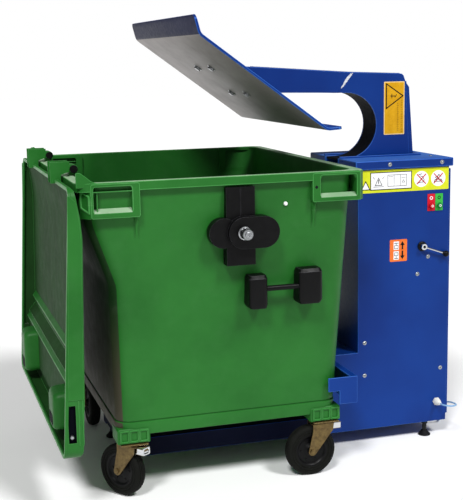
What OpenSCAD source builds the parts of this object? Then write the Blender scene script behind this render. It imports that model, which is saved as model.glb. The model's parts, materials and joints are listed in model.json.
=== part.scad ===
/* [Container] */
// Depth of the container over its rim, from the lid hinge side to the machine side
bin_depth = 1073; // [1060:1:1085]
// Width of the container over its rim, between the trunnion sides
bin_width = 1234; // [1226:1:1240]
// Height of the rim above the floor
rim_z = 1204; // [1200:1:1208]
// Wall thickness of the moulded container and its lid
wall = 5; // [4:0.5:6]
// Diameter of the container's wheels
wheel_d = 200; // [196:1:204]
// Width of a tyre
tyre_w = 48; // [42:1:52]
// Radius of a trunnion pin
trunnion_r = 20; // [16:1:22]
// Height of the trunnion pins above the floor
trunnion_z = 1003; // [990:1:1010]

/* [Machine] */
// Depth of the tall cabinet, front to back
cabinet_depth = 408; // [404:1:412]
// Width of the cabinet
cabinet_width = 490; // [484:1:496]
// Height of the top cover above the floor
cover_z = 1197; // [1190:1:1200]
// Gap between the container's rim and the front of the cabinet
dock_gap = 133.5; // [130:0.5:138]
// Sheet metal thickness of the cabinet
sheet = 3; // [2:0.5:4]
// Height of the base above the floor, which the feet fill
base_z = 66; // [64:1:70]

/* [Press] */
// Width of the swinging arm
arm_width = 140; // [130:1:144]
// Width of the press plate
plate_width = 1042; // [1000:1:1060]
// Length of the press plate between its two bends
plate_len = 600; // [580:1:610]
// Angle of the press plate below level when the arm is up
plate_tilt = 36.2; // [35:0.1:37]
// Thickness of the press plate
plate_t = 10; // [8:1:12]
// Radius of the arm's pivot shaft
pivot_r = 20; // [18:1:22]

/* [Hidden] */

$fn = 48;
fit = 0.05;            // radial clearance of a running fit
slack = 0.5;           // clearance between parts that only pass each other
GREEN = [0.19, 0.46, 0.20];
BLUE = [0.09, 0.25, 0.59];
GOLD = [0.60, 0.50, 0.28];
BLACK = [0.06, 0.06, 0.07];
STEEL = [0.62, 0.63, 0.65];

// Everything is drawn from the middle of the container and of the machine's width, and
// site() moves it so that the origin is on the floor under the middle of the whole object.
lid_reach = 632;       // how far the open lid's grips stand behind the container's middle
cover_lip = 15;        // overhang of the top cover
origin_x = (bin_depth / 2 + dock_gap + cabinet_depth + cover_lip - lid_reach) / 2;
module site() translate([-origin_x, 0, 0]) children();
// Draws its children on the near side and mirrored on the far side.
module both_sides() { children(); mirror([0, 1, 0]) children(); }
// Lays an outline drawn as [x, z] upright, w wide and centred on y.
module upright(w, y = 0) translate([0, y + w / 2, 0]) rotate([90, 0, 0]) linear_extrude(w) children();
// A cylinder along y, from y0 to y1.
module pin_y(r, x, z, y0, y1) translate([x, y0, z]) rotate([-90, 0, 0]) cylinder(r = r, h = y1 - y0);
// A box given by its two corners.
module box(a, b) translate(a) cube(b - a);

function arc(c, r, a0, a1, n = 6) =
    [for (i = [0:n]) let (a = a0 + (a1 - a0) * i / n) c + r * [cos(a), sin(a)]];
function rounded(x0, x1, y0, y1, r, n = 5) = concat(arc([x1 - r, y1 - r], r, 0, 90, n),
    arc([x0 + r, y1 - r], r, 90, 180, n), arc([x0 + r, y0 + r], r, 180, 270, n),
    arc([x1 - r, y0 + r], r, 270, 360, n));
function unit(v) = v / norm(v);
function left_of(v) = [-v[1], v[0]];
// The direction across a path at one of its points, long enough to keep the sheet's thickness.
function miter(path, i) =
    let (a = unit(path[max(i, 1)] - path[max(i, 1) - 1]),
         b = unit(path[min(i, len(path) - 2) + 1] - path[min(i, len(path) - 2)]),
         m = unit(left_of(a + b)))
    m / (m * left_of(a));
// A bent sheet's outline: the path is its middle line.
function bent(path, t) = concat(
    [for (i = [0:len(path) - 1]) path[i] + miter(path, i) * t / 2],
    [for (i = [len(path) - 1:-1:0]) path[i] - miter(path, i) * t / 2]);

// Stacks outlines of equal length at rising heights into one closed solid.
module loft(outlines, heights) {
    n = len(outlines[0]);
    last = len(outlines) - 1;
    points = [for (k = [0:last]) for (p = outlines[k]) [p[0], p[1], heights[k]]];
    sides = [for (k = [0:last - 1]) for (i = [0:n - 1]) for (t = [0, 1])
        let (a = k * n + i, b = k * n + (i + 1) % n) t == 0 ? [a, a + n, b + n] : [a, b + n, b]];
    polyhedron(points, concat([[for (i = [0:n - 1]) i]],
        [[for (i = [n - 1:-1:0]) last * n + i]], sides));
}

// ---- container ----
rim_x = bin_depth / 2;
rim_y = bin_width / 2;
rim_h = 30;
tub_base = 238;
// How far the tub reaches at a height: to the hinge side, to the machine side and to each end.
function tub_rear(z) = -lookup(z, [[238, 384], [254, 398], [825, 417], [1060, 500], [1204, 502]]);
function tub_front(z) = lookup(z, [[238, 452], [254, 468], [825, 488], [1204, 503]]);
function tub_side(z) = lookup(z, [[238, 482], [254, 499], [1204, 601]]);
function tub_ring(z, in = 0) = rounded(tub_rear(z) + in, tub_front(z) - in,
    -tub_side(z) + in, tub_side(z) - in, 60 - in);
tub_levels = [tub_base, 254, 825, 1060, rim_z - 2];

hinge_x = -498;
hinge_z = 1231;
hinge_y = 315;         // middle of each lid hinge
hinge_r = 8;

module rim() {
    translate([0, 0, rim_z - rim_h]) linear_extrude(rim_h) difference() {
        polygon(rounded(-rim_x, rim_x, -rim_y, rim_y, 42));
        polygon(rounded(-rim_x + wall, rim_x - wall, -rim_y + wall, rim_y - wall, 38));
    }
    translate([0, 0, rim_z - wall]) linear_extrude(wall) difference() {
        polygon(rounded(-rim_x, rim_x, -rim_y, rim_y, 42));
        polygon(tub_ring(rim_z, wall));
    }
}

// The moulded frames at the corners, each with a deep opening toward the trunnion side.
module corner_pocket(outline, z0, opening_x, opening_z) {
    difference() {
        translate([0, 0, z0]) linear_extrude(rim_z - 1 - z0) polygon(outline);
        box([opening_x[0], -rim_y - 5, opening_z[0]], [opening_x[1], -tub_side(opening_z[0]) - 3, opening_z[1]]);
        translate([0, 0, tub_base]) loft([for (z = tub_levels) tub_ring(z, 2)],
            [0, 16, 587, 822, rim_z - tub_base + 20]);
    }
}

module bin_tub() color(GREEN) site() {
    difference() {
        loft([for (z = tub_levels) tub_ring(z)], tub_levels);
        loft([for (z = tub_levels) tub_ring(z, wall)], [for (z = tub_levels) z == tub_base ? z + wall + 1 : z + 4]);
    }
    rim();
    both_sides() {
        corner_pocket([[-312, -560], [-312, -rim_y], [-484, -rim_y], [-518, -rim_y + 38], [-518, -540], [-480, -540]],
            1080, [-482, -342], [1098, 1168]);
        corner_pocket([[328, -560], [328, -rim_y], [515, -rim_y], [rim_x, -rim_y + 24], [rim_x, -500], [480, -500]],
            1095, [360, 502], [1108, 1198]);
        // gussets below the frames
        for (x = [-484, -316, 330, 500]) box([x, -tub_side(1060) - 14, 1010], [x + 4, -tub_side(1060) + 8, 1100]);
        // raised back corners that carry the hinge ledge
        translate([0, -rim_y + 2, 0]) rotate([90, 0, 0]) mirror([0, 0, 1]) linear_extrude(wall)
            polygon([[-rim_x + 2, rim_z - 12], [-rim_x + 2, hinge_z + 10], [-rim_x + 16, hinge_z + 12], [-468, rim_z - 2], [-468, rim_z - 12]]);
        // ribbed housings over the wheels
        for (x = caster_x) difference() {
            box([x - 62, -512, 218], [x + 62, -400, 276]);
            for (i = [-1, 0, 1]) box([x + i * 36 - 13, -520, 232], [x + i * 36 + 13, -502, 266]);
            loft([for (z = tub_levels) tub_ring(z, 2)], tub_levels);
        }
    }
    // lower skirt
    translate([0, 0, 262]) linear_extrude(12) difference() {
        polygon(tub_ring(268, -4));
        polygon(tub_ring(268, 2));
    }
    for (s = [-1, 1]) difference() {
        union() {
            box([hinge_x - 16, s * hinge_y - 18, rim_z - 4], [hinge_x + 16, s * hinge_y + 18, hinge_z]);
            pin_y(16, hinge_x, hinge_z, s * hinge_y - 18, s * hinge_y + 18);
        }
        pin_y(hinge_r + fit, hinge_x, hinge_z, s * hinge_y - 30, s * hinge_y + 30);
    }
}

trunnion_x = 56;
pill_y = 648;          // outer face of the trunnion's round-ended flange
trunnion_stub_r = 16;  // the part of the pin that is held in the flange

module trunnion_mounts() color(BLACK) site() both_sides() difference() {
    union() {
        // plate on the slanted wall
        box([-2, -rim_y - 1, 882], [106, -570, 1166]);
        box([50, -rim_y - 4, 1062], [54, -rim_y + 4, 1160]);
        // set back lobe
        pin_y(54, -15, trunnion_z, -628, -590);
        // pill with two round ends
        for (x = [trunnion_x, 132]) pin_y(57.5, x, trunnion_z, -pill_y, -590);
        box([trunnion_x, -pill_y, trunnion_z - 57.5], [132, -590, trunnion_z + 57.5]);
    }
    loft([for (z = tub_levels) tub_ring(z)], tub_levels);
    pin_y(trunnion_stub_r, trunnion_x, trunnion_z, -660, -560);
}

module trunnion_pins() color(STEEL) site() both_sides() {
    pin_y(trunnion_stub_r, trunnion_x, trunnion_z, -pill_y - 1, -606);
    pin_y(trunnion_r, trunnion_x, trunnion_z, -690, -pill_y);
    translate([trunnion_x, -690, trunnion_z]) rotate([90, 0, 0]) cylinder(r = 12, h = 6, $fn = 6);
}

handle_x = [[66, 145], [247, 357]];
handle_y = 622;

module side_handle_blocks() color(BLACK) site() both_sides() difference() {
    union() {
        translate([0, 0, 714]) loft(
            [rounded(88, 148, -handle_y + 6, -520, 12), rounded(80, 152, -handle_y, -520, 16),
             rounded(80, 152, -handle_y, -520, 16), rounded(86, 148, -handle_y + 8, -520, 12)], [0, 14, 112, 124]);
        translate([0, 0, 718]) loft(
            [rounded(280, 358, -handle_y + 6, -520, 12), rounded(273, 366, -handle_y, -520, 16),
             rounded(273, 366, -handle_y, -520, 16), rounded(279, 360, -handle_y + 8, -520, 12)], [0, 14, 120, 132]);
    }
    loft([for (z = tub_levels) tub_ring(z)], tub_levels);
    translate([146, -handle_y + 20, 786]) rotate([0, 90, 0]) cylinder(r = 10, h = 134);
}

module side_handle_bars() color(BLACK) site() both_sides()
    translate([146, -handle_y + 20, 786]) rotate([0, 90, 0]) cylinder(r = 10, h = 134);

// ---- wheels ----
caster_x = [-340, 420];
caster_y = 475;
trail = 55;
wheel_r = wheel_d / 2;
plate_z = 213;         // underside of a caster's top plate
crown_z = 203;         // underside of a fork's crown, above the tyre
// Which way each wheel trails from its swivel: the angle in plan.
trail_angle = [126, 180, 270, 190];
caster_at = [[caster_x[0], -caster_y], [caster_x[1], -caster_y],
             [caster_x[0], caster_y], [caster_x[1], caster_y]];

module caster_plates() color(GOLD) site() for (c = caster_at) translate([c[0], c[1], 0]) {
    box([-52, -42, plate_z], [52, 42, plate_z + 5]);
    translate([0, 0, plate_z - 3]) cylinder(r = 34, h = 3);
}

// Puts children, drawn with the wheel trailing along +x, at caster i.
module at_caster(i) site() translate([caster_at[i][0], caster_at[i][1], 0]) rotate([0, 0, trail_angle[i]]) children();

module caster_fork(i) color(GOLD) at_caster(i) {
    translate([0, 0, crown_z]) cylinder(r = 36, h = 6.5);
    box([-34, -tyre_w / 2 - 9, crown_z], [52, tyre_w / 2 + 9, crown_z + 5]);
    // two tapered cheeks
    for (s = [-1, 1]) translate([0, s * (tyre_w / 2 + 6.5) + 2.5, 0]) rotate([90, 0, 0]) linear_extrude(5) difference() {
        polygon(concat([[-34, crown_z + 4], [-30, crown_z - 23]],
            arc([trail, wheel_r], 17, 215, 350, 6), [[52, crown_z - 23], [52, crown_z + 4]]));
        translate([trail, wheel_r]) circle(r = 6);
    }
    // axle with a hexagon head and a nut
    translate([trail, -tyre_w / 2 - 9, wheel_r]) rotate([-90, 0, 0]) cylinder(r = 6, h = tyre_w + 18);
    for (s = [-1, 1]) translate([trail, s * (tyre_w / 2 + 12) + 3, wheel_r]) rotate([90, 0, 0]) cylinder(r = 10, h = 6, $fn = 6);
    // lock housing beside the swivel
    translate([-66, 0, crown_z - 8]) difference() {
        box([0, -20, -16], [38, 20, 12]);
        box([-2, -14, -12], [10, 14, -2]);
    }
}
module caster_fork_1() caster_fork(0);
module caster_fork_2() caster_fork(1);
module caster_fork_3() caster_fork(2);
module caster_fork_4() caster_fork(3);

module wheel_hub(i) color(BLACK) at_caster(i) translate([trail, 0, wheel_r]) rotate([90, 0, 0]) rotate_extrude($fn = 64)
    polygon([[6 + fit, -27], [16, -27], [18, -20], [30, -12], [52, -12], [60, -20], [64, -20],
             [64, 20], [60, 20], [52, 12], [30, 12], [18, 20], [16, 27], [6 + fit, 27]]);
module wheel_hub_1() wheel_hub(0);
module wheel_hub_2() wheel_hub(1);
module wheel_hub_3() wheel_hub(2);
module wheel_hub_4() wheel_hub(3);

module tyre(i) color(BLACK) at_caster(i) translate([trail, 0, wheel_r]) rotate([90, 0, 0]) rotate_extrude($fn = 96)
    polygon(concat([[64, -20]], [[84, -tyre_w / 2 + 1]], arc([wheel_r - 14, -tyre_w / 2 + 14], 14, -90, 0, 5),
        arc([wheel_r - 14, tyre_w / 2 - 14], 14, 0, 90, 5), [[84, tyre_w / 2 - 1]], [[64, 20]]));
module tyre_1() tyre(0);
module tyre_2() tyre(1);
module tyre_3() tyre(2);
module tyre_4() tyre(3);

// ---- lid, hanging open on the hinge side ----
lid_y = 655;
lid_top = 1196;
lid_bottom = 236;
lid_skin = [[-556, lid_top], [-547, 1186], [-541, 1150], [-531, 1090], [-526, 1020], [-541, 459], [-552, 262], [-560, lid_bottom]];
lid_lip = [[-619, lid_bottom], [-566, lid_top]];
lid_wall = 4;
function shifted(path, d) = [for (p = path) p + d];

module lid_outline(in) rotate([90, 0, 90]) translate([0, 0, -700]) linear_extrude(300)
    polygon(rounded(-lid_y + in, lid_y - in, lid_bottom - 1 + in, lid_top + 1 - in, 46 - in));

module lid_shell() color(GREEN) site() {
    difference() {
        intersection() {
            upright(2 * lid_y) polygon(concat(lid_skin, lid_lip));
            lid_outline(0);
        }
        intersection() {
            upright(2 * lid_y) polygon(concat(
                [for (p = lid_skin) p[1] > 1190 ? p + [-8, 0] : p + [-lid_wall, 0]],
                [[-660, lid_bottom], [-660, lid_top]]));
            lid_outline(lid_wall);
            // the skin steps outward below its middle
            union() {
                box([-700, -700, 548], [-400, 700, 1250]);
                box([-700, -700, 200], [-572, 700, 500]);
                box([-700, -700, 200], [-400, 700, 300]);
                upright(1400) polygon([[-700, 499], [-700, 549], [-530, 549], [-572, 499]]);
            }
        }
        // grip openings in the side walls
        both_sides() box([-602, -lid_y - 5, 300], [-574, -lid_y + 8, 436]);
    }
    // lugs that turn on the hinge pins
    for (y = [-1, 1]) for (e = [-hinge_y, hinge_y]) difference() {
        translate([0, e + y * 27 + 5, 0]) rotate([90, 0, 0]) linear_extrude(10) union() {
            polygon([[-584, lid_top - 14], [-584, hinge_z + 28], [-hinge_lug, hinge_z + 28], [-hinge_lug, hinge_z], [hinge_x - 16, hinge_z - 10], [-545, 1212], [-545, lid_top - 14]]);
            translate([hinge_x, hinge_z]) circle(r = 16);
            translate([hinge_x - 30, hinge_z]) square([30, 16]);
        }
        pin_y(hinge_r, hinge_x, hinge_z, e - 60, e + 60);
    }
}
hinge_lug = 512;

module lid_hinge_pins() color(BLACK) site() for (e = [-hinge_y, hinge_y]) {
    pin_y(hinge_r, hinge_x, hinge_z, e - 33, e + 33);
    pin_y(15, hinge_x, hinge_z, e - 39, e - 32.5);
    pin_y(15, hinge_x, hinge_z, e + 32.5, e + 39);
}

// Hollow lifting grips inside the lid, open toward the skin's lower edge.
module lid_grips() color(GREEN) site() for (y = [-430, 430]) difference() {
    rotate([0, -90, 0]) translate([0, 0, 572]) loft(
        [rounded(302, 478, y - 70, y + 70, 26), rounded(304, 476, y - 68, y + 68, 26), rounded(312, 466, y - 60, y + 60, 26)],
        [0, 46, 60]);
    box([-618, y - 50, 290], [-578, y + 50, 440]);
}

// ---- machine ----
cab_x0 = rim_x + dock_gap;
cab_x1 = cab_x0 + cabinet_depth;
cab_y = cabinet_width / 2;
lower_x = 540;         // front of the low box that reaches under the container
lower_z = 400;
cover_h = 35;
slot_y = arm_width / 2 + 7;
slot_x = 1010;
pivot_x = 900;
pivot_z = 950;
button_x = [997, 1033];
button_z = 1000;
button_r = 11;

module side_panel() upright(sheet, -cab_y + sheet / 2)
    polygon([[lower_x, base_z], [cab_x1, base_z], [cab_x1, cover_z - sheet], [cab_x0, cover_z - sheet],
             [cab_x0, lower_z], [lower_x, lower_z]]);

module side_panel_near() color(BLUE) site() difference() {
    side_panel();
    for (x = button_x) pin_y(button_r + slack, x, button_z, -cab_y - 5, -cab_y + 10);
}
module side_panel_far() color(BLUE) site() mirror([0, 1, 0]) side_panel();

module front_panel() color(BLUE) site() difference() {
    box([cab_x0, -cab_y + sheet, lower_z], [cab_x0 + sheet, cab_y - sheet, cover_z - sheet]);
    box([cab_x0 - 5, -slot_y, 872], [cab_x0 + 10, slot_y, cover_z + 5]);
}

module rear_panel() color(BLUE) site() difference() {
    box([cab_x1, -cab_y + 8, base_z + 26], [cab_x1 + 12, cab_y - 8, cover_z - cover_h - 12]);
    box([cab_x1 - 5, -cab_y + 8 + sheet, base_z + 26 + sheet], [cab_x1 + 12 - sheet, cab_y - 8 - sheet, cover_z - cover_h - 12 - sheet]);
}

module top_cover() color(BLUE) site() difference() {
    box([cab_x0 - cover_lip, -cab_y - 10, cover_z - cover_h], [cab_x1 + cover_lip, cab_y + 10, cover_z]);
    box([cab_x0 - cover_lip + sheet, -cab_y - 10 + sheet, cover_z - cover_h - 5], [cab_x1 + cover_lip - sheet, cab_y + 10 - sheet, cover_z - sheet]);
    box([cab_x0 - 30, -slot_y, cover_z - cover_h - 5], [slot_x, slot_y, cover_z + 5]);
}

module slot_collar() color(BLUE) site() difference() {
    box([cab_x0 - cover_lip, -slot_y - 16, cover_z], [slot_x + 16, slot_y + 16, cover_z + 7]);
    box([cab_x0 - 30, -slot_y, cover_z - 5], [slot_x, slot_y, cover_z + 12]);
}

module base_tray() color(BLUE) site() {
    box([lower_x, -cab_y + sheet, base_z], [cab_x1, cab_y - sheet, base_z + sheet]);
    box([lower_x, -cab_y + sheet, base_z], [lower_x + sheet, cab_y - sheet, lower_z]);
    box([lower_x, -cab_y + sheet, lower_z - sheet], [cab_x0, cab_y - sheet, lower_z]);
    // low back wall that the rear panel hangs on
    box([cab_x1 - sheet, -cab_y + sheet, base_z], [cab_x1, cab_y - sheet, base_z + 60]);
}

tongue_x = -320;
module base_frame() color(BLUE) site() {
    both_sides() difference() {
        box([tongue_x, -cab_y, base_z + 2], [lower_x, -cab_y + 50, base_z + 76]);
        box([tongue_x + 4, -cab_y + 4, base_z + 6], [lower_x + 5, -cab_y + 46, base_z + 72]);
    }
    for (x = [tongue_x, 60, 440]) box([x, -cab_y + 50, base_z + 12], [x + 60, cab_y - 50, base_z + 60]);
}

feet = [[-290, -220], [-290, 220], [470, -220], [470, 220], [992, -219], [992, 219]];
module foot_studs() color(STEEL) site() for (f = feet) translate([f[0], f[1], 0]) {
    translate([0, 0, 22]) cylinder(r = 9, h = base_z + (f[0] < lower_x ? 2 : 0) - 22);
    translate([0, 0, base_z - 14]) cylinder(r = 15, h = 10, $fn = 6);
}
module foot_pads() color(BLACK) site() for (f = feet) translate([f[0], f[1], 0]) rotate_extrude()
    polygon([[0, 0], [26, 0], [26, 6], [16, 15], [13, 22], [0, 22]]);

bar_y = 538;
module catch_bar() color(BLUE) site() {
    difference() {
        box([512, -bar_y + 8, 290], [lower_x, bar_y - 8, 397]);
        box([500, -bar_y - 5, 296], [lower_x - 6, bar_y + 5, 391]);
    }
    both_sides() {
        box([420, -bar_y, 343], [lower_x, -bar_y + 8, 397]);
        box([466, -bar_y, 290], [lower_x, -bar_y + 8, 343]);
    }
}

label_t = 0.6;
module warning_labels() site() {
    color([0.85, 0.86, 0.12]) box([682, -cab_y - label_t, 1066], [1076, -cab_y, 1158]);
    color([0.90, 0.45, 0.15]) box([811, -cab_y - label_t, 775], [889, -cab_y, 867]);
}

module arm_label() color([0.85, 0.65, 0.05]) site()
    box([862, -arm_width / 2 - label_t, 1287], [956, -arm_width / 2, 1508]);

module button_legends() site() for (i = [0, 1]) color(i == 0 ? [0.75, 0.08, 0.12] : [0.15, 0.55, 0.20]) difference() {
    union() {
        box([button_x[i] - 17, -cab_y - 2, 978], [button_x[i] + 17, -cab_y, 1049]);
        pin_y(15, button_x[i], button_z, -cab_y - 7, -cab_y - 1);
    }
    pin_y(button_r + slack, button_x[i], button_z, -cab_y - 10, -cab_y + 5);
}

module button(x) {
    pin_y(button_r, x, button_z, -cab_y - 15, -cab_y + 8);
    pin_y(button_r + 4, x, button_z, -cab_y + 4, -cab_y + 8);
}
module stop_button() color([0.8, 0.1, 0.1]) site() button(button_x[0]);
module start_button() color([0.1, 0.6, 0.2]) site() button(button_x[1]);

lever_x = 957;
lever_z = 832;
knob_x = 1060;
knob_z = 796;
lever_angle = atan2(knob_z - lever_z, knob_x - lever_x);
lever_len = norm([knob_x - lever_x, knob_z - lever_z]);
module lever_boss() color(BLACK) site() {
    pin_y(20, lever_x, lever_z, -cab_y - 8, -cab_y);
    pin_y(6, lever_x, lever_z, -cab_y - 27, -cab_y - 8);
}
module lever_rod() color(STEEL) site() difference() {
    union() {
        pin_y(13, lever_x, lever_z, -cab_y - 26, -cab_y - 9);
        translate([lever_x, -cab_y - 18, lever_z]) rotate([0, 90 - lever_angle, 0]) cylinder(r = 4, h = lever_len - 10);
    }
    pin_y(6 + fit, lever_x, lever_z, -cab_y - 40, -cab_y);
}
module lever_knob() color(BLACK) site() translate([knob_x, -cab_y - 18, knob_z]) difference() {
    sphere(r = 13);
    rotate([0, 90 - lever_angle, 0]) translate([0, 0, -20]) cylinder(r = 4, h = 10);
}

module panel_screws() color(STEEL) site() {
    for (s = [[986, 786], [938, 715], [700, 440], [700, 300], [1050, 300]])
        pin_y(6, s[0], s[1], -cab_y - 3, -cab_y);
    for (x = [805, 1040]) pin_y(6, x, cover_z - 17, -cab_y - 13, -cab_y - 10);
    for (y = [-150, 150]) translate([1040, y, cover_z]) cylinder(r = 6, h = 3);
    for (z = [230, 892]) translate([cab_x1 + 12, -200, z]) rotate([0, 90, 0]) cylinder(r = 6, h = 3);
}

gland_x = 1033;
gland_z = 153;
cord_r = 3.5;
module cable_gland() color([0.85, 0.85, 0.82]) site() difference() {
    union() {
        translate([gland_x, -cab_y, gland_z]) rotate([90, 0, 0]) cylinder(r = 17.5, h = 8, $fn = 6);
        translate([gland_x, -cab_y - 8, gland_z]) rotate([90, 0, 0]) cylinder(r1 = 15, r2 = 9, h = 22);
        pin_y(6.5, gland_x, gland_z, -cab_y - 40, -cab_y - 20);
    }
    pin_y(cord_r, gland_x, gland_z, -cab_y - 50, -cab_y - 38);
}

bracket_y = arm_width / 2 + 8;
module pivot_brackets() color(BLUE) site() both_sides() difference() {
    translate([0, -bracket_y, 0]) rotate([90, 0, 0]) linear_extrude(14) union() {
        polygon([[820, base_z + sheet], [980, base_z + sheet], [950, pivot_z], [850, pivot_z]]);
        translate([pivot_x, pivot_z]) circle(r = 50);
    }
    pin_y(pivot_r, pivot_x, pivot_z, -150, 0);
}
module pivot_shaft() color(STEEL) site() {
    pin_y(pivot_r, pivot_x, pivot_z, -bracket_y - 18, bracket_y + 18);
    both_sides() pin_y(26, pivot_x, pivot_z, -bracket_y - 24, -bracket_y - 16);
}

// ---- arm ----
throat_x = 692;
throat_z = 1331;
throat_r = 136;
tail_x = 1012;
tail_z = 907;
tail_r = 12;
plate_dir = [cos(plate_tilt), -sin(plate_tilt)];
plate_up = [sin(plate_tilt), cos(plate_tilt)];
plate_top = [-57, 1705];
// A point on the press plate, s along it from its upper bend and h above its middle.
function on_plate(s, h) = plate_top + s * plate_dir + h * plate_up;
bracket_low = plate_t / 2 + 0.02;
bracket_h = plate_t / 2 + 12;

module arm_side_plate() difference() {
    polygon(concat([on_plate(214, bracket_h), [277, 1582], [707, 1551]], arc([937, 1523], 18, 92, 10, 4),
        [[961, 1509], [981, cover_z], [1000, 1060]], arc([1016, 905], 36, 20, -90, 5), [[pivot_x + 20, 872]],
        arc([pivot_x, pivot_z], 66, -100, -165, 4), [[655, 1160], [655, 1195]],
        arc([throat_x, throat_z], throat_r, 270, 450, 24), [on_plate(408, bracket_h)]));
    translate([pivot_x, pivot_z]) circle(r = 35);
    translate([tail_x, tail_z]) circle(r = tail_r);
}
arm_t = 8;
module arm_side_plates() color(BLUE) site() both_sides()
    translate([0, -arm_width / 2 + arm_t, 0]) rotate([90, 0, 0]) linear_extrude(arm_t) arm_side_plate();

module arm_webs() color(BLUE) site() {
    w = arm_width - 2 * arm_t;
    upright(w) {
        polygon(bent([on_plate(216, bracket_h) + [14, -6], [277, 1576], [707, 1545], [938, 1535]], 8));
        polygon(bent([on_plate(404, bracket_h) + [2, 5], [648, 1471], [692, 1471]], 8));
        polygon(concat(arc([throat_x, throat_z], throat_r + 8, -90, 90, 24), arc([throat_x, throat_z], throat_r, 90, -90, 24)));
        polygon([[656, 1187], [692, 1187], [692, 1195], [656, 1195]]);
    }
    // stiffener that stands proud of the back edge
    upright(arm_width - 8) polygon([[961, 1509], [980, 1484], [1001, cover_z], [1020, 1060], [1000, 1060], [981, cover_z]]);
}

module arm_hub() color(STEEL) site() difference() {
    pin_y(35, pivot_x, pivot_z, -arm_width / 2 - 4, arm_width / 2 + 4);
    pin_y(pivot_r + fit, pivot_x, pivot_z, -arm_width, arm_width);
}
module arm_tail_pin() color(STEEL) site() pin_y(tail_r, tail_x, tail_z, -arm_width / 2 - 3, arm_width / 2 + 3);

module plate_bracket() color(BLUE) site() difference() {
    upright(270) polygon([on_plate(160, bracket_low), on_plate(430, bracket_low), on_plate(430, bracket_h), on_plate(160, bracket_h)]);
    plate_holes();
}
bolt_s = [203, 381];
module plate_holes() for (s = bolt_s) for (y = [-100, 100]) translate([on_plate(s, 0)[0], y, on_plate(s, 0)[1]])
    rotate([0, plate_tilt, 0]) translate([0, 0, -30]) cylinder(r = 8, h = 60);

module press_plate() color(STEEL) site() difference() {
    intersection() {
        upright(plate_width) polygon(bent([plate_top + [-20, 70], plate_top, plate_top + plate_len * plate_dir,
            plate_top + plate_len * plate_dir + [62, 4]], plate_t));
        rotate([90, 0, 90]) translate([0, 0, -300]) linear_extrude(1200)
            polygon(rounded(-plate_width / 2, plate_width / 2, 1300, plate_top[1] + 74, 28));
        translate([0, 0, 1200]) linear_extrude(700)
            polygon(rounded(-140, plate_top[0] + plate_len * plate_dir[0] + 62, -plate_width / 2, plate_width / 2, 28));
    }
    plate_holes();
}
module plate_bolts() color(STEEL) site() for (s = bolt_s) for (y = [-100, 100])
    translate([on_plate(s, 0)[0], y, on_plate(s, 0)[1]]) rotate([0, plate_tilt, 0]) {
        translate([0, 0, -plate_t / 2]) cylinder(r = 8, h = plate_t + 12);
        translate([0, 0, -plate_t / 2 - 10]) cylinder(r = 14, h = 10, $fn = 6);
        translate([0, 0, bracket_h]) cylinder(r = 14, h = 12, $fn = 6);
    }

// ---- hydraulics ----
rod_x = 1016;
barrel_z = [330, 790];
rod_r = 20;
module cylinder_barrel() color(BLACK) site() {
    difference() {
        translate([rod_x, 0, barrel_z[0]]) cylinder(r = 38, h = barrel_z[1] - barrel_z[0]);
        translate([rod_x, 0, barrel_z[0] + 60]) cylinder(r = 26, h = 1000);
    }
    difference() {
        translate([rod_x, 0, barrel_z[1]]) cylinder(r = 42, h = 24);
        translate([rod_x, 0, barrel_z[1] - 1]) cylinder(r = rod_r + fit, h = 40);
    }
    // foot bolted to the base
    translate([rod_x, 0, base_z + sheet]) cylinder(r = 30, h = barrel_z[0] - base_z - sheet);
    box([rod_x - 55, -55, base_z + sheet], [rod_x + 55, 55, base_z + sheet + 12]);
}
module cylinder_rod() color(STEEL) site() {
    translate([rod_x, 0, 560]) cylinder(r = rod_r, h = 306);
    translate([rod_x, 0, 560]) cylinder(r = 26 - fit, h = 20);
    difference() {
        box([rod_x - 30, -22, 862], [rod_x + 30, 22, tail_z + 26]);
        // slotted eye: the arm's tail pin moves a little across it as the arm swings
        for (x = [-7, 7]) pin_y(tail_r + 1, rod_x + x, tail_z, -30, 30);
        box([rod_x - 7, -30, tail_z - tail_r - 1], [rod_x + 7, 30, tail_z + tail_r + 1]);
    }
}

module oil_tank() color([0.35, 0.37, 0.40]) site() difference() {
    box([570, -180, base_z + sheet + 6], [790, 180, 330]);
    box([574, -176, base_z + sheet + 10], [786, 176, 326]);
}
module pump_motor() color([0.30, 0.42, 0.55]) site() {
    translate([752, -60, 330]) cylinder(r = 38, h = 16);
    translate([752, -60, 346]) cylinder(r = 70, h = 150);
    translate([752, -60, 496]) cylinder(r = 62, h = 36);
    box([717, 4, 390], [787, 40, 450]);
}
module valve_block() color(STEEL) site() {
    box([700, 80, 330], [770, 150, 400]);
    translate([735, 115, 400]) cylinder(r = 18, h = 60);
    // pressure pipe to the cylinder
    translate([770, 115, 365]) rotate([0, 90, 0]) cylinder(r = 6, h = rod_x - 770);
    translate([rod_x, 115 + 6, 365]) rotate([90, 0, 0]) cylinder(r = 8, h = 115 + 6 - 38);
}

// ---- mains lead ----
// Route of the lead from the gland to the coil on the floor behind the cabinet, chosen by hand.
lead_route = [[1033, -285, 153], [1033, -294, 153], [1036, -307, 153], [1044, -318, 152.5], [1056, -325, 152],
    [1068, -326, 151], [1080, -322, 150], [1091, -313, 149], [1098, -300, 148], [1101, -284, 146], [1102, -262, 143],
    [1102.5, -240, 139], [1103, -218, 133], [1104, -196, 124], [1106, -176, 111], [1109, -158, 93], [1113, -142, 71],
    [1118, -127, 47], [1124, -111, 25], [1131, -92, 10], [1139, -68, 4], [1148, -38, 3.5], [1155, -5, 3.5],
    [1159, 30, 3.5], [1160, 60, 3.5], [1160, 80, 3.5]];
// Route from the top of the coil down to the plug.
tail_route = [[1160, 112, 38.5], [1160, 135, 37], [1160, 160, 29], [1160, 185, 21], [1160, 200, 19]];
coil_at = [1202, 110];
coil_rings = [35, 42];   // radii of the inner and outer turns
coil_levels = 6;

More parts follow.
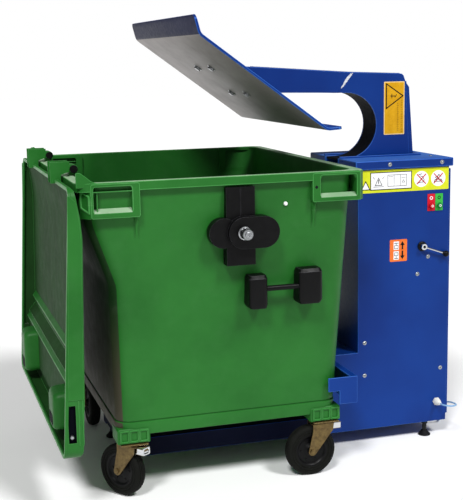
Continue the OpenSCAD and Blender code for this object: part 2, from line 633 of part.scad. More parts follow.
// A point between p1 and p2 on the smooth curve through p0, p1, p2 and p3.
function curve(p0, p1, p2, p3, t) = ((2 * p1) + (p2 - p0) * t + (2 * p0 - 5 * p1 + 4 * p2 - p3) * t * t
    + (3 * p1 - p0 - 3 * p2 + p3) * t * t * t) / 2;
function smooth(path, n = 2) = let (m = len(path) - 1) concat([for (i = [0:m - 1]) for (k = [0:n - 1])
    curve(path[max(i - 1, 0)], path[i], path[i + 1], path[min(i + 2, m)], k / n)], [path[m]]);
module lead(route, r, sides = 10) {
    path = smooth(route);
    m = len(path) - 1;
    frames = [for (i = [0:m]) let (t = unit(path[min(i + 1, m)] - path[max(i - 1, 0)]),
        u = unit(cross([0, 0, 1], t))) [u, cross(t, u)]];
    points = [for (i = [0:m]) for (k = [0:sides - 1])
        path[i] + r * (cos(360 * k / sides) * frames[i][0] + sin(360 * k / sides) * frames[i][1])];
    skin = [for (i = [0:m - 1]) for (k = [0:sides - 1]) for (t = [0, 1])
        let (a = i * sides + k, b = i * sides + (k + 1) % sides) t == 0 ? [a, b + sides, b] : [a, a + sides, b + sides]];
    polyhedron(points, concat([[for (k = [0:sides - 1]) k]], [[for (k = [sides - 1:-1:0]) m * sides + k]], skin));
}
module mains_cord() color([0.55, 0.68, 0.80]) site() {
    lead(lead_route, cord_r - 0.02);
    lead(tail_route, cord_r - 0.02);
}
module cord_coil() color([0.55, 0.68, 0.80]) site() translate([coil_at[0], coil_at[1], 0]) rotate_extrude($fn = 64)
    translate([coil_rings[0] - cord_r, 0]) square([coil_rings[1] - coil_rings[0] + 2 * cord_r, coil_levels * 2 * cord_r]);

module mains_plug() color(BLACK) site() translate([1160, 200, 19]) rotate([-90, 0, 0]) {
    cylinder(r1 = 7, r2 = 12, h = 16);
    translate([0, 0, 16]) cylinder(r = 19, h = 30);
    for (x = [-9.5, 9.5]) translate([x, 0, 46]) cylinder(r = 2.4, h = 19);
}

bin_tub();
trunnion_mounts();
trunnion_pins();
side_handle_blocks();
side_handle_bars();
caster_plates();
lid_shell();
lid_hinge_pins();
lid_grips();
caster_fork_1();
caster_fork_2();
caster_fork_3();
caster_fork_4();
wheel_hub_1();
wheel_hub_2();
wheel_hub_3();
wheel_hub_4();
tyre_1();
tyre_2();
tyre_3();
tyre_4();
side_panel_near();
side_panel_far();
front_panel();
rear_panel();
top_cover();
slot_collar();
base_tray();
base_frame();
foot_studs();
foot_pads();
catch_bar();
warning_labels();
button_legends();
stop_button();
start_button();
lever_boss();
lever_rod();
lever_knob();
panel_screws();
cable_gland();
pivot_brackets();
pivot_shaft();
arm_side_plates();
arm_webs();
arm_hub();
arm_tail_pin();
plate_bracket();
press_plate();
plate_bolts();
arm_label();
cylinder_barrel();
cylinder_rod();
oil_tank();
pump_motor();
valve_block();
mains_cord();
cord_coil();
mains_plug();
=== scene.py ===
# %% [markdown]
# # An in-container waste compactor
# A blue press machine swings a C-shaped arm with a wide steel plate down into a green wheeled
# container that is docked in front of it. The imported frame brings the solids, their sizes and
# their joints. This lesson adds what the eye looks for on the real machine: folded and moulded
# edges, welds, printed labels, tyres, a mains lead, and finishes with the wear that each gets.
# Shapes are written in millimetres from the middle of the container, as a drawing office would.

# %% load the frame
import json
import math

import bmesh
import bpy
import numpy as np
from mathutils import Matrix, Vector


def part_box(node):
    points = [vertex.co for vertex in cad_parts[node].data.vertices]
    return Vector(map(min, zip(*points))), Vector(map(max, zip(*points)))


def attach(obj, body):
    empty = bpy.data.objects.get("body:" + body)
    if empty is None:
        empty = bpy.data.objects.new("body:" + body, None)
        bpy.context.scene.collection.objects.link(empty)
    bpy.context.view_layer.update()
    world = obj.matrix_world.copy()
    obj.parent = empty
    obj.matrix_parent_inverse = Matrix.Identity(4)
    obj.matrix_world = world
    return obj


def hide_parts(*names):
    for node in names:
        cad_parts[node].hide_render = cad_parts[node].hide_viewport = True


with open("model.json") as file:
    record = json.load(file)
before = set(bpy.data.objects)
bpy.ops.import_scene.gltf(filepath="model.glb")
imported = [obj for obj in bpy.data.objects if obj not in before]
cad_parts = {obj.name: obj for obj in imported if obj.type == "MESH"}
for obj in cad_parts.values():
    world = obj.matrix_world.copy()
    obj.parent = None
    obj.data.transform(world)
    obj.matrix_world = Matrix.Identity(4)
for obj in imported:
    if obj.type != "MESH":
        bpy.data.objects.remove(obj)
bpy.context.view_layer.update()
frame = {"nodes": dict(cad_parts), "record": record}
body_of = {node: body for body, nodes in frame["record"]["behaviour"]["bodies"].items() for node in nodes}
slot_of = {part["node"]: part["material_slot"] for part in frame["record"]["subparts"]}
tub_low, tub_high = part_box("bin_tub")
middle_x = (tub_low.x + tub_high.x) / 2

# %% [markdown]
# ## The camera
# A long lens from the front left, a little above the rim, shows the open container, the lid that
# hangs behind it and the control side of the cabinet. Its axes are built from a heading, a
# downward tilt and a small roll, because those three angles are easy to read and to change.

# %% camera
heading, tilt, roll = 0.2958, -0.1734, -0.0182
forward = Vector((math.sin(heading) * math.cos(tilt), math.cos(heading) * math.cos(tilt), math.sin(tilt)))
level_right = Vector((math.cos(heading), -math.sin(heading), 0))
level_up = level_right.cross(forward)
camera_right = level_right * math.cos(roll) + level_up * math.sin(roll)
camera_up = level_up * math.cos(roll) - level_right * math.sin(roll)
lens = bpy.data.cameras.new("camera")
lens.sensor_width, lens.lens = 36, 79.68
camera = bpy.data.objects.new("camera", lens)
camera_axes = Matrix((camera_right, camera_up, -forward)).transposed().to_4x4()
camera.matrix_world = Matrix.Translation((middle_x - 1.1245, -4.3561, 1.6252)) @ camera_axes
bpy.context.collection.objects.link(camera)
bpy.context.scene.camera = camera
print("lens", lens.lens, "mm from", tuple(round(v, 2) for v in camera.matrix_world.translation))

# %% [markdown]
# ## Two helpers for finishes
# Every finish is a small net of nodes around one principled shader. One function adds a node and
# wires it, one turns a printed sRGB colour into the linear numbers that a shader wants. Patterns
# read Object coordinates, which are metres here, so a scale of 1000 / size gives a size in mm.


# %% finish helpers
def linear(code):
    """A colour written as sRGB hex, as linear red, green, blue and a full alpha."""
    parts = [int(code[i : i + 2], 16) / 255 for i in (1, 3, 5)]
    return (*[p / 12.92 if p <= 0.04045 else ((p + 0.055) / 1.055) ** 2.4 for p in parts], 1)


def add(tree, kind, inputs=(), out=0, **settings):
    """Adds one node, sets its options, fills or links its sockets and gives back one output."""
    node = tree.nodes.new(kind)
    for option, value in settings.items():
        setattr(node, option, value)
    for socket, value in dict(inputs).items():
        if isinstance(value, bpy.types.NodeSocket):
            tree.links.new(value, node.inputs[socket])
        else:
            node.inputs[socket].default_value = value
    return node.outputs[out]


finishes = {}


def new_finish(name, metallic=0.0, roughness=0.5, ior=1.5, specular=0.5):
    """A named material with even values on its shader, and the Object coordinates to draw on. A low
    specular stands for a surface that has lost its shine to dust and handling."""
    finishes[name] = bpy.data.materials.new(name)
    finishes[name].use_nodes = True
    tree = finishes[name].node_tree
    shader = tree.nodes["Principled BSDF"]
    for socket, value in (("Metallic", metallic), ("Roughness", roughness), ("IOR", ior),
                          ("Specular IOR Level", specular)):
        shader.inputs[socket].default_value = value
    return tree, shader, add(tree, "ShaderNodeTexCoord", out="Object")


def feed(tree, shader, **sockets):
    """Links outputs to the shader's sockets, named with _ for a space."""
    for name, output in sockets.items():
        tree.links.new(output, shader.inputs[name.replace("_", " ")])


# %% [markdown]
# ## Moulded polyethylene
# The container and its lid are injection-moulded high-density polyethylene, dyed green all
# through. New, it is satin with a fine grain. In use it dulls in clouds, takes pale rubbed lines
# and gathers grey dust. The bevels get a second, paler finish: rubbed wear and a painted highlight.


# %% green polyethylene
MOULD_GRAIN_MM = 1.6


def moulded(name, deep, bright, rubbed, rub_share, roughness, muddy=None):
    """Dyed plastic: 300 mm clouds of two shades, 60 mm dusty patches, long rubbed lines and a grain.
    muddy is a painted reflection of the floor that takes over towards the foot, from 0.75 m
    down to 0.45 m."""
    tree, shader, place = new_finish(name, roughness=roughness, ior=1.54, specular=0.18)
    cloud = add(tree, "ShaderNodeTexNoise", {"Vector": place, "Scale": 3.3, "Detail": 4, "Roughness": 0.6})
    shade = add(tree, "ShaderNodeMapRange", {"Value": cloud, "From Min": 0.35, "From Max": 0.65})
    dyed = add(tree, "ShaderNodeMix", {0: shade, 6: linear(deep), 7: linear(bright)}, 2, data_type="RGBA")
    patch = add(tree, "ShaderNodeTexNoise", {"Vector": place, "Scale": 17, "Detail": 7, "Roughness": 0.7})
    dust = add(tree, "ShaderNodeMapRange", {"Value": patch, "From Min": 0.5, "From Max": 0.8, "To Max": rub_share})
    dusty = add(tree, "ShaderNodeMix", {0: dust, 6: dyed, 7: linear(rubbed)}, 2, data_type="RGBA")
    # Towards the foot the colour turns into a painted reflection of the floor.
    if muddy:
        height = add(tree, "ShaderNodeSeparateXYZ", {"Vector": place}, out=2)
        reflection_share = add(tree, "ShaderNodeMapRange", {"Value": height, "From Min": 0.75, "From Max": 0.45, "To Max": 0.9})
        dusty = add(tree, "ShaderNodeMix", {0: reflection_share, 6: dusty, 7: linear(muddy)}, 2, data_type="RGBA")
    drawn = add(tree, "ShaderNodeMapping", {"Vector": place, "Scale": (3, 3, 150)})
    line = add(tree, "ShaderNodeTexNoise", {"Vector": drawn, "Scale": 1, "Detail": 5, "Roughness": 0.75})
    scuff = add(tree, "ShaderNodeMapRange", {"Value": line, "From Min": 0.66, "From Max": 0.74, "To Max": 0.45})
    worn = add(tree, "ShaderNodeMix", {0: scuff, 6: dusty, 7: linear(rubbed)}, 2, data_type="RGBA")
    sheen = add(tree, "ShaderNodeMapRange", {"Value": patch, "From Min": 0.3, "From Max": 0.7,
                                             "To Min": roughness - 0.07, "To Max": roughness + 0.12})
    grain = add(tree, "ShaderNodeTexNoise", {"Vector": place, "Scale": 1000 / MOULD_GRAIN_MM, "Detail": 3})
    bump = add(tree, "ShaderNodeBump", {"Height": grain, "Distance": 0.0002, "Strength": 0.22})
    feed(tree, shader, Base_Color=worn, Roughness=sheen, Normal=bump)


moulded("green_plastic", "#1B5E1E", "#236A25", "#47774A", 0.14, 0.42)
# A paler copy for bevels and lips: rubbed wear and a painted highlight.
moulded("green_edge_wear_and_highlight", "#357E39", "#438C46", "#86AC80", 0.3, 0.36)
# A pale copy for faces that look up: scuffs and a painted highlight.
moulded("green_top_scuff_and_highlight", "#7CA37A", "#9BB697", "#C6D0BE", 0.7, 0.5)
# A darker copy that paints shade on hollow and inner faces.
moulded("shaded_green", "#12380F", "#184516", "#2F5A2C", 0.14, 0.7)
# The back wall's copy: darker green for painted shade, with a painted floor reflection at its foot.
moulded("muddy_green", "#143014", "#1C3C1A", "#4C5244", 0.3, 0.55, muddy="#453F34")
print("polyethylene finishes:", [n for n in finishes if n.startswith("green")])

# %% [markdown]
# ## Powder coat
# The machine is mild steel sheet with a baked powder coat. The powder melts into a skin with a
# faint orange-peel ripple a few millimetres long, glossier than plastic. Handling leaves hair
# scratches and a little dust. Folds get a paler edge finish: a thinner coat and a painted highlight.


# %% powder coats
def powder_coated(name, deep, bright, scratch, roughness=0.3, wear=0.35, specular=0.15):
    """Baked paint: 400 mm clouds, sparse slanting hair scratches, dust specks and a 4 mm ripple."""
    tree, shader, place = new_finish(name, roughness=roughness, ior=1.52, specular=specular)
    cloud = add(tree, "ShaderNodeTexNoise", {"Vector": place, "Scale": 2.5, "Detail": 3})
    shade = add(tree, "ShaderNodeMapRange", {"Value": cloud, "From Min": 0.35, "From Max": 0.65})
    coat = add(tree, "ShaderNodeMix", {0: shade, 6: linear(deep), 7: linear(bright)}, 2, data_type="RGBA")
    drawn = add(tree, "ShaderNodeMapping", {"Vector": place, "Rotation": (0.4, 0.5, 0.3), "Scale": (8, 8, 260)})
    hair = add(tree, "ShaderNodeTexNoise", {"Vector": drawn, "Scale": 1, "Detail": 6, "Roughness": 0.8})
    scratches = add(tree, "ShaderNodeMapRange", {"Value": hair, "From Min": 0.7, "From Max": 0.76, "To Max": wear})
    marked = add(tree, "ShaderNodeMix", {0: scratches, 6: coat, 7: linear(scratch)}, 2, data_type="RGBA")
    speck = add(tree, "ShaderNodeTexNoise", {"Vector": place, "Scale": 60, "Detail": 5, "Roughness": 0.7})
    dust = add(tree, "ShaderNodeMapRange", {"Value": speck, "From Min": 0.66, "From Max": 0.85, "To Max": wear})
    dusty = add(tree, "ShaderNodeMix", {0: dust, 6: marked, 7: linear(scratch)}, 2, data_type="RGBA")
    sheen = add(tree, "ShaderNodeMapRange", {"Value": speck, "From Min": 0.35, "From Max": 0.7,
                                             "To Min": roughness - 0.05, "To Max": roughness + 0.12})
    peel = add(tree, "ShaderNodeTexNoise", {"Vector": place, "Scale": 250, "Detail": 2})
    bump = add(tree, "ShaderNodeBump", {"Height": peel, "Distance": 0.0003, "Strength": 0.12})
    feed(tree, shader, Base_Color=dusty, Roughness=sheen, Normal=bump)


for paint in (("blue_paint", "#052A72", "#093480", "#3F60A0", 0.34, 0.18),
              # paler coat for bevels: thin paint and a painted highlight
              ("blue_edge_wear_and_highlight", "#1F50A6", "#3366B6", "#85A6D6", 0.3, 0.4),
              # lighter blue for upward faces: a painted highlight, with dust specks
              ("blue_top_highlight", "#2A58A8", "#3A6AB6", "#7894C4", 0.5, 0.4),
              # dark navy with scratches: painted shade on the upper flange's face
              ("scuffed_shaded_navy", "#12173C", "#1A2046", "#4C4A5C", 0.5, 0.4),
              # darker navy for the frame under the bin: painted shade
              ("under_bin_shade_navy", "#0C0F22", "#121731", "#2B3150", 0.6, 0.3, 0.05),
              # near-black navy that paints deep shade in throats, mouths and slots
              ("painted_shade_navy", "#020309", "#05070F", "#141832", 0.6, 0.1, 0.04),
              ("tank_paint", "#23272B", "#30363B", "#7A8288", 0.45),
              ("cast_motor", "#3C4248", "#555C63", "#9AA0A6", 0.6),
              ("cylinder_paint", "#131416", "#1E2023", "#6B7075", 0.35)):
    powder_coated(*paint)
print(len(finishes), "finishes with the paints")

# %% [markdown]
# ## Bare, plated and chromed metal
# A metal's colour is its reflection, so these finishes differ mostly in tint and in how far the
# roughness is drawn out along the way they were worked. Rolled plate scuffs along the press's
# stroke. Zinc with a yellow chromate is a dull gold with cloudy, rainbow-brown patches.


# %% metals
def worked_metal(name, dark, light, roughness, drawn_scale, spread=0.12, patch_mm=40, stain=None,
                 metallic=1.0, bump_share=0.15):
    """Metal: streaks drawn out by drawn_scale carry tint and roughness, larger patches carry stain.
    A metallic below 1 is metal under a film of dirt or scale."""
    tree, shader, place = new_finish(name, metallic=metallic, roughness=roughness)
    drawn = add(tree, "ShaderNodeMapping", {"Vector": place, "Scale": drawn_scale})
    streak = add(tree, "ShaderNodeTexNoise", {"Vector": drawn, "Scale": 1, "Detail": 6, "Roughness": 0.7})
    share = add(tree, "ShaderNodeMapRange", {"Value": streak, "From Min": 0.35, "From Max": 0.68})
    tint = add(tree, "ShaderNodeMix", {0: share, 6: linear(dark), 7: linear(light)}, 2, data_type="RGBA")
    patch = add(tree, "ShaderNodeTexNoise", {"Vector": place, "Scale": 1000 / patch_mm, "Detail": 5,
                                             "Roughness": 0.65})
    stained = add(tree, "ShaderNodeMapRange", {"Value": patch, "From Min": 0.52, "From Max": 0.72, "To Max": 0.6})
    colour = add(tree, "ShaderNodeMix", {0: stained, 6: tint, 7: linear(stain or dark)}, 2, data_type="RGBA")
    rough = add(tree, "ShaderNodeMapRange", {"Value": patch, "From Min": 0.3, "From Max": 0.7,
                                             "To Min": roughness - spread, "To Max": roughness + spread})
    bump = add(tree, "ShaderNodeBump", {"Height": streak, "Distance": 0.0002, "Strength": bump_share})
    feed(tree, shader, Base_Color=colour, Roughness=rough, Normal=bump)


worked_metal("steel", "#8E9194", "#C3C6C9", 0.3, (120, 120, 120))
worked_metal("worn_steel", "#8A8280", "#988F8E", 0.45, (14, 5, 14), 0.05, 160, "#7E7674", 0.4, 0.04)
worked_metal("zinc_yellow", "#57462A", "#7D693F", 0.4, (60, 60, 60), 0.1, 18, "#463721", 0.7)
worked_metal("chrome_rod", "#C9CBCE", "#E4E6E8", 0.1, (30, 30, 200), 0.04)
# bare weld, its whiteness partly a painted highlight of glinting light
worked_metal("bare_weld_highlight", "#C2C6CC", "#F4F5F7", 0.45, (160, 160, 160), 0.1, 8, "#A0A6B0", 0.35)

# %% [markdown]
# ## Black nylon, rubber and small plastics
# The lifting gear is black glass-filled nylon with a leathery satin grain, the tyres are solid
# rubber that is greyer and rougher where it scrubs, and the caps, gland and buttons are smooth
# engineering plastics. Printed film is smooth and slightly glossy.


# %% plastics and rubber
def plain_plastic(name, deep, bright, roughness, grain_mm, depth_mm, patch_mm=30):
    """A dyed plastic, rubber or film: two close shades in patches, roughness patches and a grain."""
    tree, shader, place = new_finish(name, roughness=roughness, specular=0.15)
    patch = add(tree, "ShaderNodeTexNoise", {"Vector": place, "Scale": 1000 / patch_mm, "Detail": 5,
                                             "Roughness": 0.65})
    share = add(tree, "ShaderNodeMapRange", {"Value": patch, "From Min": 0.4, "From Max": 0.72})
    colour = add(tree, "ShaderNodeMix", {0: share, 6: linear(deep), 7: linear(bright)}, 2, data_type="RGBA")
    sheen = add(tree, "ShaderNodeMapRange", {"Value": patch, "From Min": 0.3, "From Max": 0.7,
                                             "To Min": max(roughness - 0.08, 0.05), "To Max": roughness + 0.1})
    grain = add(tree, "ShaderNodeTexNoise", {"Vector": place, "Scale": 1000 / grain_mm, "Detail": 3})
    bump = add(tree, "ShaderNodeBump", {"Height": grain, "Distance": depth_mm / 1000, "Strength": 0.3})
    feed(tree, shader, Base_Color=colour, Roughness=sheen, Normal=bump)


for plastic in (("black_plastic", "#040405", "#0A0A0B", 0.42, 1.5, 0.2),
                # paler nylon for bevels: wear and a painted highlight
                ("black_edge_wear_and_highlight", "#2A2A2D", "#48484C", 0.32, 1.5, 0.2),
                # black for holes and recesses: painted shade
                ("black_rubber", "#08080A", "#121217", 0.62, 1.2, 0.2),
                ("tyre_rubber", "#060704", "#121310", 0.75, 2.5, 0.35, 45),
                ("label_film", "#C9D020", "#D6DB33", 0.3, 6, 0.05),
                ("orange_film", "#E06A28", "#EA7B38", 0.3, 6, 0.05),
                ("golden_film", "#C9940F", "#DBA61C", 0.32, 6, 0.05),
                ("pale_film", "#E6C27A", "#F0D9A6", 0.35, 6, 0.05),
                ("white_film", "#E9E9EC", "#F7F7F8", 0.3, 6, 0.05),
                ("black_film", "#0B0B0C", "#17171A", 0.35, 6, 0.05),
                ("red_film", "#B5232A", "#C8343A", 0.35, 6, 0.05),
                ("red_plastic", "#B80D1E", "#CC1B2B", 0.25, 3, 0.08),
                ("green_button", "#0E7A33", "#189144", 0.25, 3, 0.08),
                ("legend_film", "#C41226", "#D32536", 0.35, 5, 0.05),
                ("legend_green", "#2FA53C", "#45B84F", 0.35, 5, 0.05),
                ("gland_plastic", "#DAD8D0", "#EDEBE4", 0.38, 2, 0.1),
                ("cord_plastic", "#7FA6CF", "#93B7DA", 0.4, 2, 0.1)):
    plain_plastic(*plastic)
print(len(finishes), "finishes so far")

# %% [markdown]
# ## Shapes from grids
# Nearly every new piece is one surface: rows of points, each row a closed loop, with a quad
# between each pair of neighbours. A loft stacks different loops, a lathe turns one profile, a
# sweep carries a section along a path, and each is a whole-array formula that returns points and
# faces. The maker then merges doubles, turns the faces outward and puts the piece on its body.


# %% surfaces
def joined(*shapes):
    """Several (points, faces) shapes as one: each shape's face numbers move up by the points before it."""
    starts = np.cumsum([0] + [len(points) for points, _ in shapes[:-1]])
    faces = [[int(i) + int(start) for i in face] for start, (_, fs) in zip(starts, shapes) for face in fs]
    return np.concatenate([points for points, _ in shapes]), faces


def lofted(loops, ring=False):
    """Skin over equal closed loops. Quad (r, c) joins points c and c + 1 of loops r and r + 1; flat caps
    close the two ends, or ring joins the last loop to the first."""
    loops = np.asarray(loops, float)
    if ring:
        loops = np.concatenate([loops, loops[:1]])
    rows, count = loops.shape[:2]
    r, c = np.meshgrid(np.arange(rows - 1), np.arange(count), indexing="ij")
    after = (c + 1) % count
    quads = np.stack([r * count + c, r * count + after, (r + 1) * count + after, (r + 1) * count + c], -1)
    ends = [] if ring else [list(range(count))[::-1], list(range((rows - 1) * count, rows * count))]
    return loops.reshape(-1, 3), quads.reshape(-1, 4).tolist() + ends


def rounded(u0, u1, v0, v1, radius, steps=5, side=0):
    """A rectangle with round corners, anticlockwise: a corner's centre plus the radius turned through
    its quarter. side puts that many more points along each straight side."""
    turn = np.radians(90 * np.arange(4)[:, None] + np.linspace(0, 90, steps + 1))
    u = (np.array([u1, u0, u0, u1]) + radius * np.array([-1, 1, 1, -1]))[:, None] + radius * np.cos(turn)
    v = (np.array([v1, v1, v0, v0]) + radius * np.array([-1, -1, 1, 1]))[:, None] + radius * np.sin(turn)
    arcs = np.stack([u, v], -1)
    share = np.arange(1, side + 1)[None, :, None] / (side + 1)
    straights = arcs[:, -1:] * (1 - share) + np.roll(arcs, -1, axis=0)[:, :1] * share
    return np.concatenate([arcs, straights], 1).reshape(-1, 2)


def upright(outline, level, across="y"):
    """A flat outline as 3D points: its two numbers fill the other axes in order, and level the one across."""
    outline = np.asarray(outline, float)
    return np.insert(outline, "xyz".index(across), level, axis=1)


def slab(outline, low, high, across="y"):
    """An outline pulled straight from low to high."""
    return lofted([upright(outline, low, across), upright(outline, high, across)])


def turned(profile, centre, across="y", steps=40, ring=False):
    """A lathe: each (radius, distance) of the profile goes round the axis. A radius of 0 is a pole."""
    radius, along = np.array(profile, float).T[:, :, None]
    turn = np.arange(steps) * 2 * np.pi / steps
    one, two, flat = radius * np.cos(turn), radius * np.sin(turn), along + 0 * turn
    order = {"x": (flat, one, two), "y": (one, flat, two), "z": (one, two, flat)}[across]
    return lofted(np.stack(order, -1) + np.array(centre, float), ring=ring)


ACROSS = (0, 1, 0)  # the direction from the near side to the far side


def swept(path, section, closed=False, side=(0, 0, 1), size=1.0):
    """A section carried along a path that lies flat: each path point, plus the section's first number
    along side, the direction square to the path's plane, and its second one square to both. size
    swells or thins the section from point to point."""
    path, section = np.asarray(path, float), np.asarray(section, float)
    ahead, behind = np.roll(path, -1, 0), np.roll(path, 1, 0)
    if not closed:
        ahead[-1], behind[0] = path[-1], path[0]
    along = (ahead - behind) / np.linalg.norm(ahead - behind, axis=1)[:, None]
    across = np.cross(np.array(side, float), along)
    swell = np.broadcast_to(np.asarray(size, float), len(path))[:, None, None]
    offsets = section[None, :, :1] * np.array(side, float) + section[None, :, 1:] * across[:, None]
    return lofted(path[:, None] + swell * offsets, ring=closed)


def mirrored(shape):
    """The shape and its twin on the far side, y turned to -y."""
    points, faces = shape
    return joined(shape, (points * [1, -1, 1], [face[::-1] for face in faces]))


def disc(radius, count=12):
    """A round section of that many points."""
    turn = np.arange(count) * 2 * np.pi / count
    return radius * np.stack([np.cos(turn), np.sin(turn)], -1)


# %% put a shape into the scene
def place(mesh, name, body, slot, stands_for=(), looks=(), bevel=0.0, sharp=32, edge=None):
    """Gives a mesh an object, its finishes, round edges, a body to ride on and the nodes it stands for."""
    piece = bpy.data.objects.new(name, mesh)
    bpy.context.collection.objects.link(piece)
    for look in looks or (slot,):
        mesh.materials.append(finishes[look])
    mesh.shade_smooth()
    if bevel:
        if edge:
            mesh.materials.append(finishes[edge])
        rounding = piece.modifiers.new("round_edges", "BEVEL")
        rounding.width, rounding.segments, rounding.limit_method = bevel / 1000, 2, "ANGLE"
        rounding.angle_limit = math.radians(sharp)
        rounding.harden_normals = True
        rounding.material = len(mesh.materials) - 1 if edge else -1
    else:
        mesh.set_sharp_from_angle(angle=math.radians(sharp))
    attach(piece, body)
    if stands_for:
        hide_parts(*stands_for)
    return piece


def give_looks(mesh, which):
    """which takes the faces' middles in mm and their normals, and returns each face's finish number."""
    if which:
        centres, normals = np.zeros((2, len(mesh.polygons) * 3), np.float32)
        mesh.polygons.foreach_get("center", centres)
        mesh.polygons.foreach_get("normal", normals)
        chosen = which((centres.reshape(-1, 3) - [middle_x, 0, 0]) * 1000, normals.reshape(-1, 3))
        mesh.polygons.foreach_set("material_index", np.asarray(chosen, np.int32))
        mesh.update()


def make(name, shape, body, slot, stands_for=(), looks=(), which=None, **finish):
    """A piece from (points in mm, faces). which gives each face's finish by its middle point."""
    points, faces = shape
    mesh = bpy.data.meshes.new(name)
    mesh.from_pydata((np.asarray(points) / 1000 + [middle_x, 0, 0]).tolist(), [], faces)
    tidy = bmesh.new()
    tidy.from_mesh(mesh)
    bmesh.ops.remove_doubles(tidy, verts=tidy.verts, dist=2e-5)
    bmesh.ops.recalc_face_normals(tidy, faces=tidy.faces)
    tidy.to_mesh(mesh)
    tidy.free()
    piece = place(mesh, name, body, slot, stands_for, looks, **finish)
    give_looks(mesh, which)
    return piece


def moulding(name, shape, stands_for=(), body="bin", **finish):
    """A green plastic piece, of the container unless body says otherwise."""
    make(name, shape, body, "green_plastic", stands_for, **finish)


def softened(node, bevel, edge=None, looks=(), flat=1.0, sharp=32, which=None):
    """A CAD node's own shape with rounded edges: its triangles are merged into flat faces, so that a
    bevel runs only along true edges."""
    merged = bmesh.new()
    merged.from_mesh(frame["nodes"][node].data)
    bmesh.ops.remove_doubles(merged, verts=merged.verts, dist=1e-5)
    bmesh.ops.dissolve_limit(merged, angle_limit=math.radians(flat), verts=merged.verts, edges=merged.edges)
    merged.verts.index_update()
    mesh = bpy.data.meshes.new(node + "_made")
    mesh.from_pydata([v.co[:] for v in merged.verts], [], [[v.index for v in f.verts] for f in merged.faces])
    merged.free()
    piece = place(mesh, node + "_made", body_of[node], slot_of[node], [node], looks, bevel=bevel, edge=edge,
                  sharp=sharp)
    give_looks(mesh, which)
    return piece


print("shape helpers are ready")

# %% [markdown]
# ## The mains lead
# A light-blue 7 mm lead leaves the gland low on the cabinet's near side, drops to the floor behind
# the cabinet, and the length nobody needs is wound there into a small round coil with its plug
# beside it. One open curve follows all 3.1 m, so it can be measured, bent and drawn as one.

# %% lead
lead_points = [[1033, -285, 153], [1033, -294, 153], [1036, -307, 153], [1044, -318, 152.5], [1056, -325, 152],
               [1068, -326, 151], [1080, -322, 150], [1091, -313, 149], [1098, -300, 148], [1101, -284, 146],
               [1102, -262, 143], [1102.5, -240, 139], [1103, -218, 133], [1104, -196, 124], [1106, -176, 111],
               [1109, -158, 93], [1113, -142, 71], [1118, -127, 47], [1124, -111, 25], [1131, -92, 10],
               [1139, -68, 4], [1148, -38, 3.5], [1155, -5, 3.5], [1159, 30, 3.5], [1160, 60, 3.5], [1160, 80, 3.5]]
tail_points = [[1160, 112, 38.5], [1160, 135, 37], [1160, 160, 29], [1160, 185, 21], [1160, 200, 19]]


def eased(points, count):
    """A smooth curve through points: between two of them, the cubic that leaves along the chord of the
    neighbours on either side, sampled count times."""
    p = np.array(points, float)
    p = np.concatenate([p[:1], p, p[-1:]])
    t = (np.arange(count) / count)[None, :, None]
    a, b, c, d = (p[i : len(p) - 3 + i, None] for i in range(4))
    run = (2 * b + (c - a) * t + (2 * a - 5 * b + 4 * c - d) * t**2 + (3 * b - a - 3 * c + d) * t**3) / 2
    return np.concatenate([run.reshape(-1, 3), p[-1:]])


# The coil: the angle runs on at an even rate, while radius and level step from one turn's place to
# the next over the last fifth of each state, eased at both ends.
radii = np.array([42, 35, 35, 42, 42, 35, 35, 42, 42, 35, 35, 42, 42])
levels = np.array([0, 0, 1, 1, 2, 2, 3, 3, 4, 4, 5, 5, 5])
turn = np.linspace(0, 3600, 361)
state = np.minimum((turn // 300).astype(int), 11)
step = np.clip((turn - 300 * state - 240) / 60, 0, 1)
step = step * step * (3 - 2 * step)
radius = radii[state] * (1 - step) + radii[state + 1] * step
level = levels[state] * (1 - step) + levels[state + 1] * step
angle = np.radians(180 - turn)
coil = np.stack([1202 + radius * np.cos(angle), 110 + radius * np.sin(angle), 3.5 + 7 * level], -1)
lead_path = np.concatenate([eased(lead_points, 2), coil, eased(tail_points, 3)])
lead_path = lead_path / 1000 + [middle_x, 0, 0]
lead_curve = bpy.data.curves.new("mains_lead", "CURVE")
lead_curve.dimensions, lead_curve.bevel_depth, lead_curve.bevel_resolution = "3D", 0.0035, 3
lead_curve.use_fill_caps = True
spline = lead_curve.splines.new("POLY")
spline.points.add(len(lead_path) - 1)
spline.points.foreach_set("co", np.insert(lead_path, 3, 1, axis=1).ravel())
lead = bpy.data.objects.new("mains_lead", lead_curve)
bpy.context.collection.objects.link(lead)
lead_curve.materials.append(finishes["cord_plastic"])
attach(lead, "machine")
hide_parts("mains_cord", "cord_coil")

plug = make("mains_plug_made", joined(turned([(0, 199), (5, 199), (7, 200.5), (7.6, 204), (7.2, 205), (8.6, 208),
                                              (8.2, 209), (10, 212), (9.6, 213), (12, 216)], (1160, 0, 19)),
                                      turned([(0, 214), (15, 214), (18, 216), (19, 219), (19, 232), (17.6, 234),
                                              (17.6, 238), (19, 240), (19, 244), (17, 246), (0, 246)], (1160, 0, 19)),
                                      *[turned([(0, 246), (2.4, 246), (2.4, 263), (1.6, 265), (0, 265)],
                                               (1160 + x, 0, 19), steps=16) for x in (-9.5, 9.5)]), "machine",
            "black_plastic", ["mains_plug"], looks=("black_plastic", "steel"),
            which=lambda centre, normal: centre[:, 1] > 246.5)
tie_path = upright(rounded(1232.8, 1248.2, 0.8, 42.8, 3.5, 4, side=2), 110)
make("coil_tie", swept(tie_path, rounded(-4, 4, -0.6, 0.6, 0.3, 1), closed=True, side=ACROSS), "machine",
     "black_plastic")

# %% [markdown]
# ## The container's tub
# The tub is one moulding with 5 mm walls. Its back wall leans hard so that waste slides out when a
# truck tips it, the front is nearly upright, and the sides flare. A loft of rounded rectangles gives
# that in one closed skin: up the outside, over the top, down the inside and across the floor.


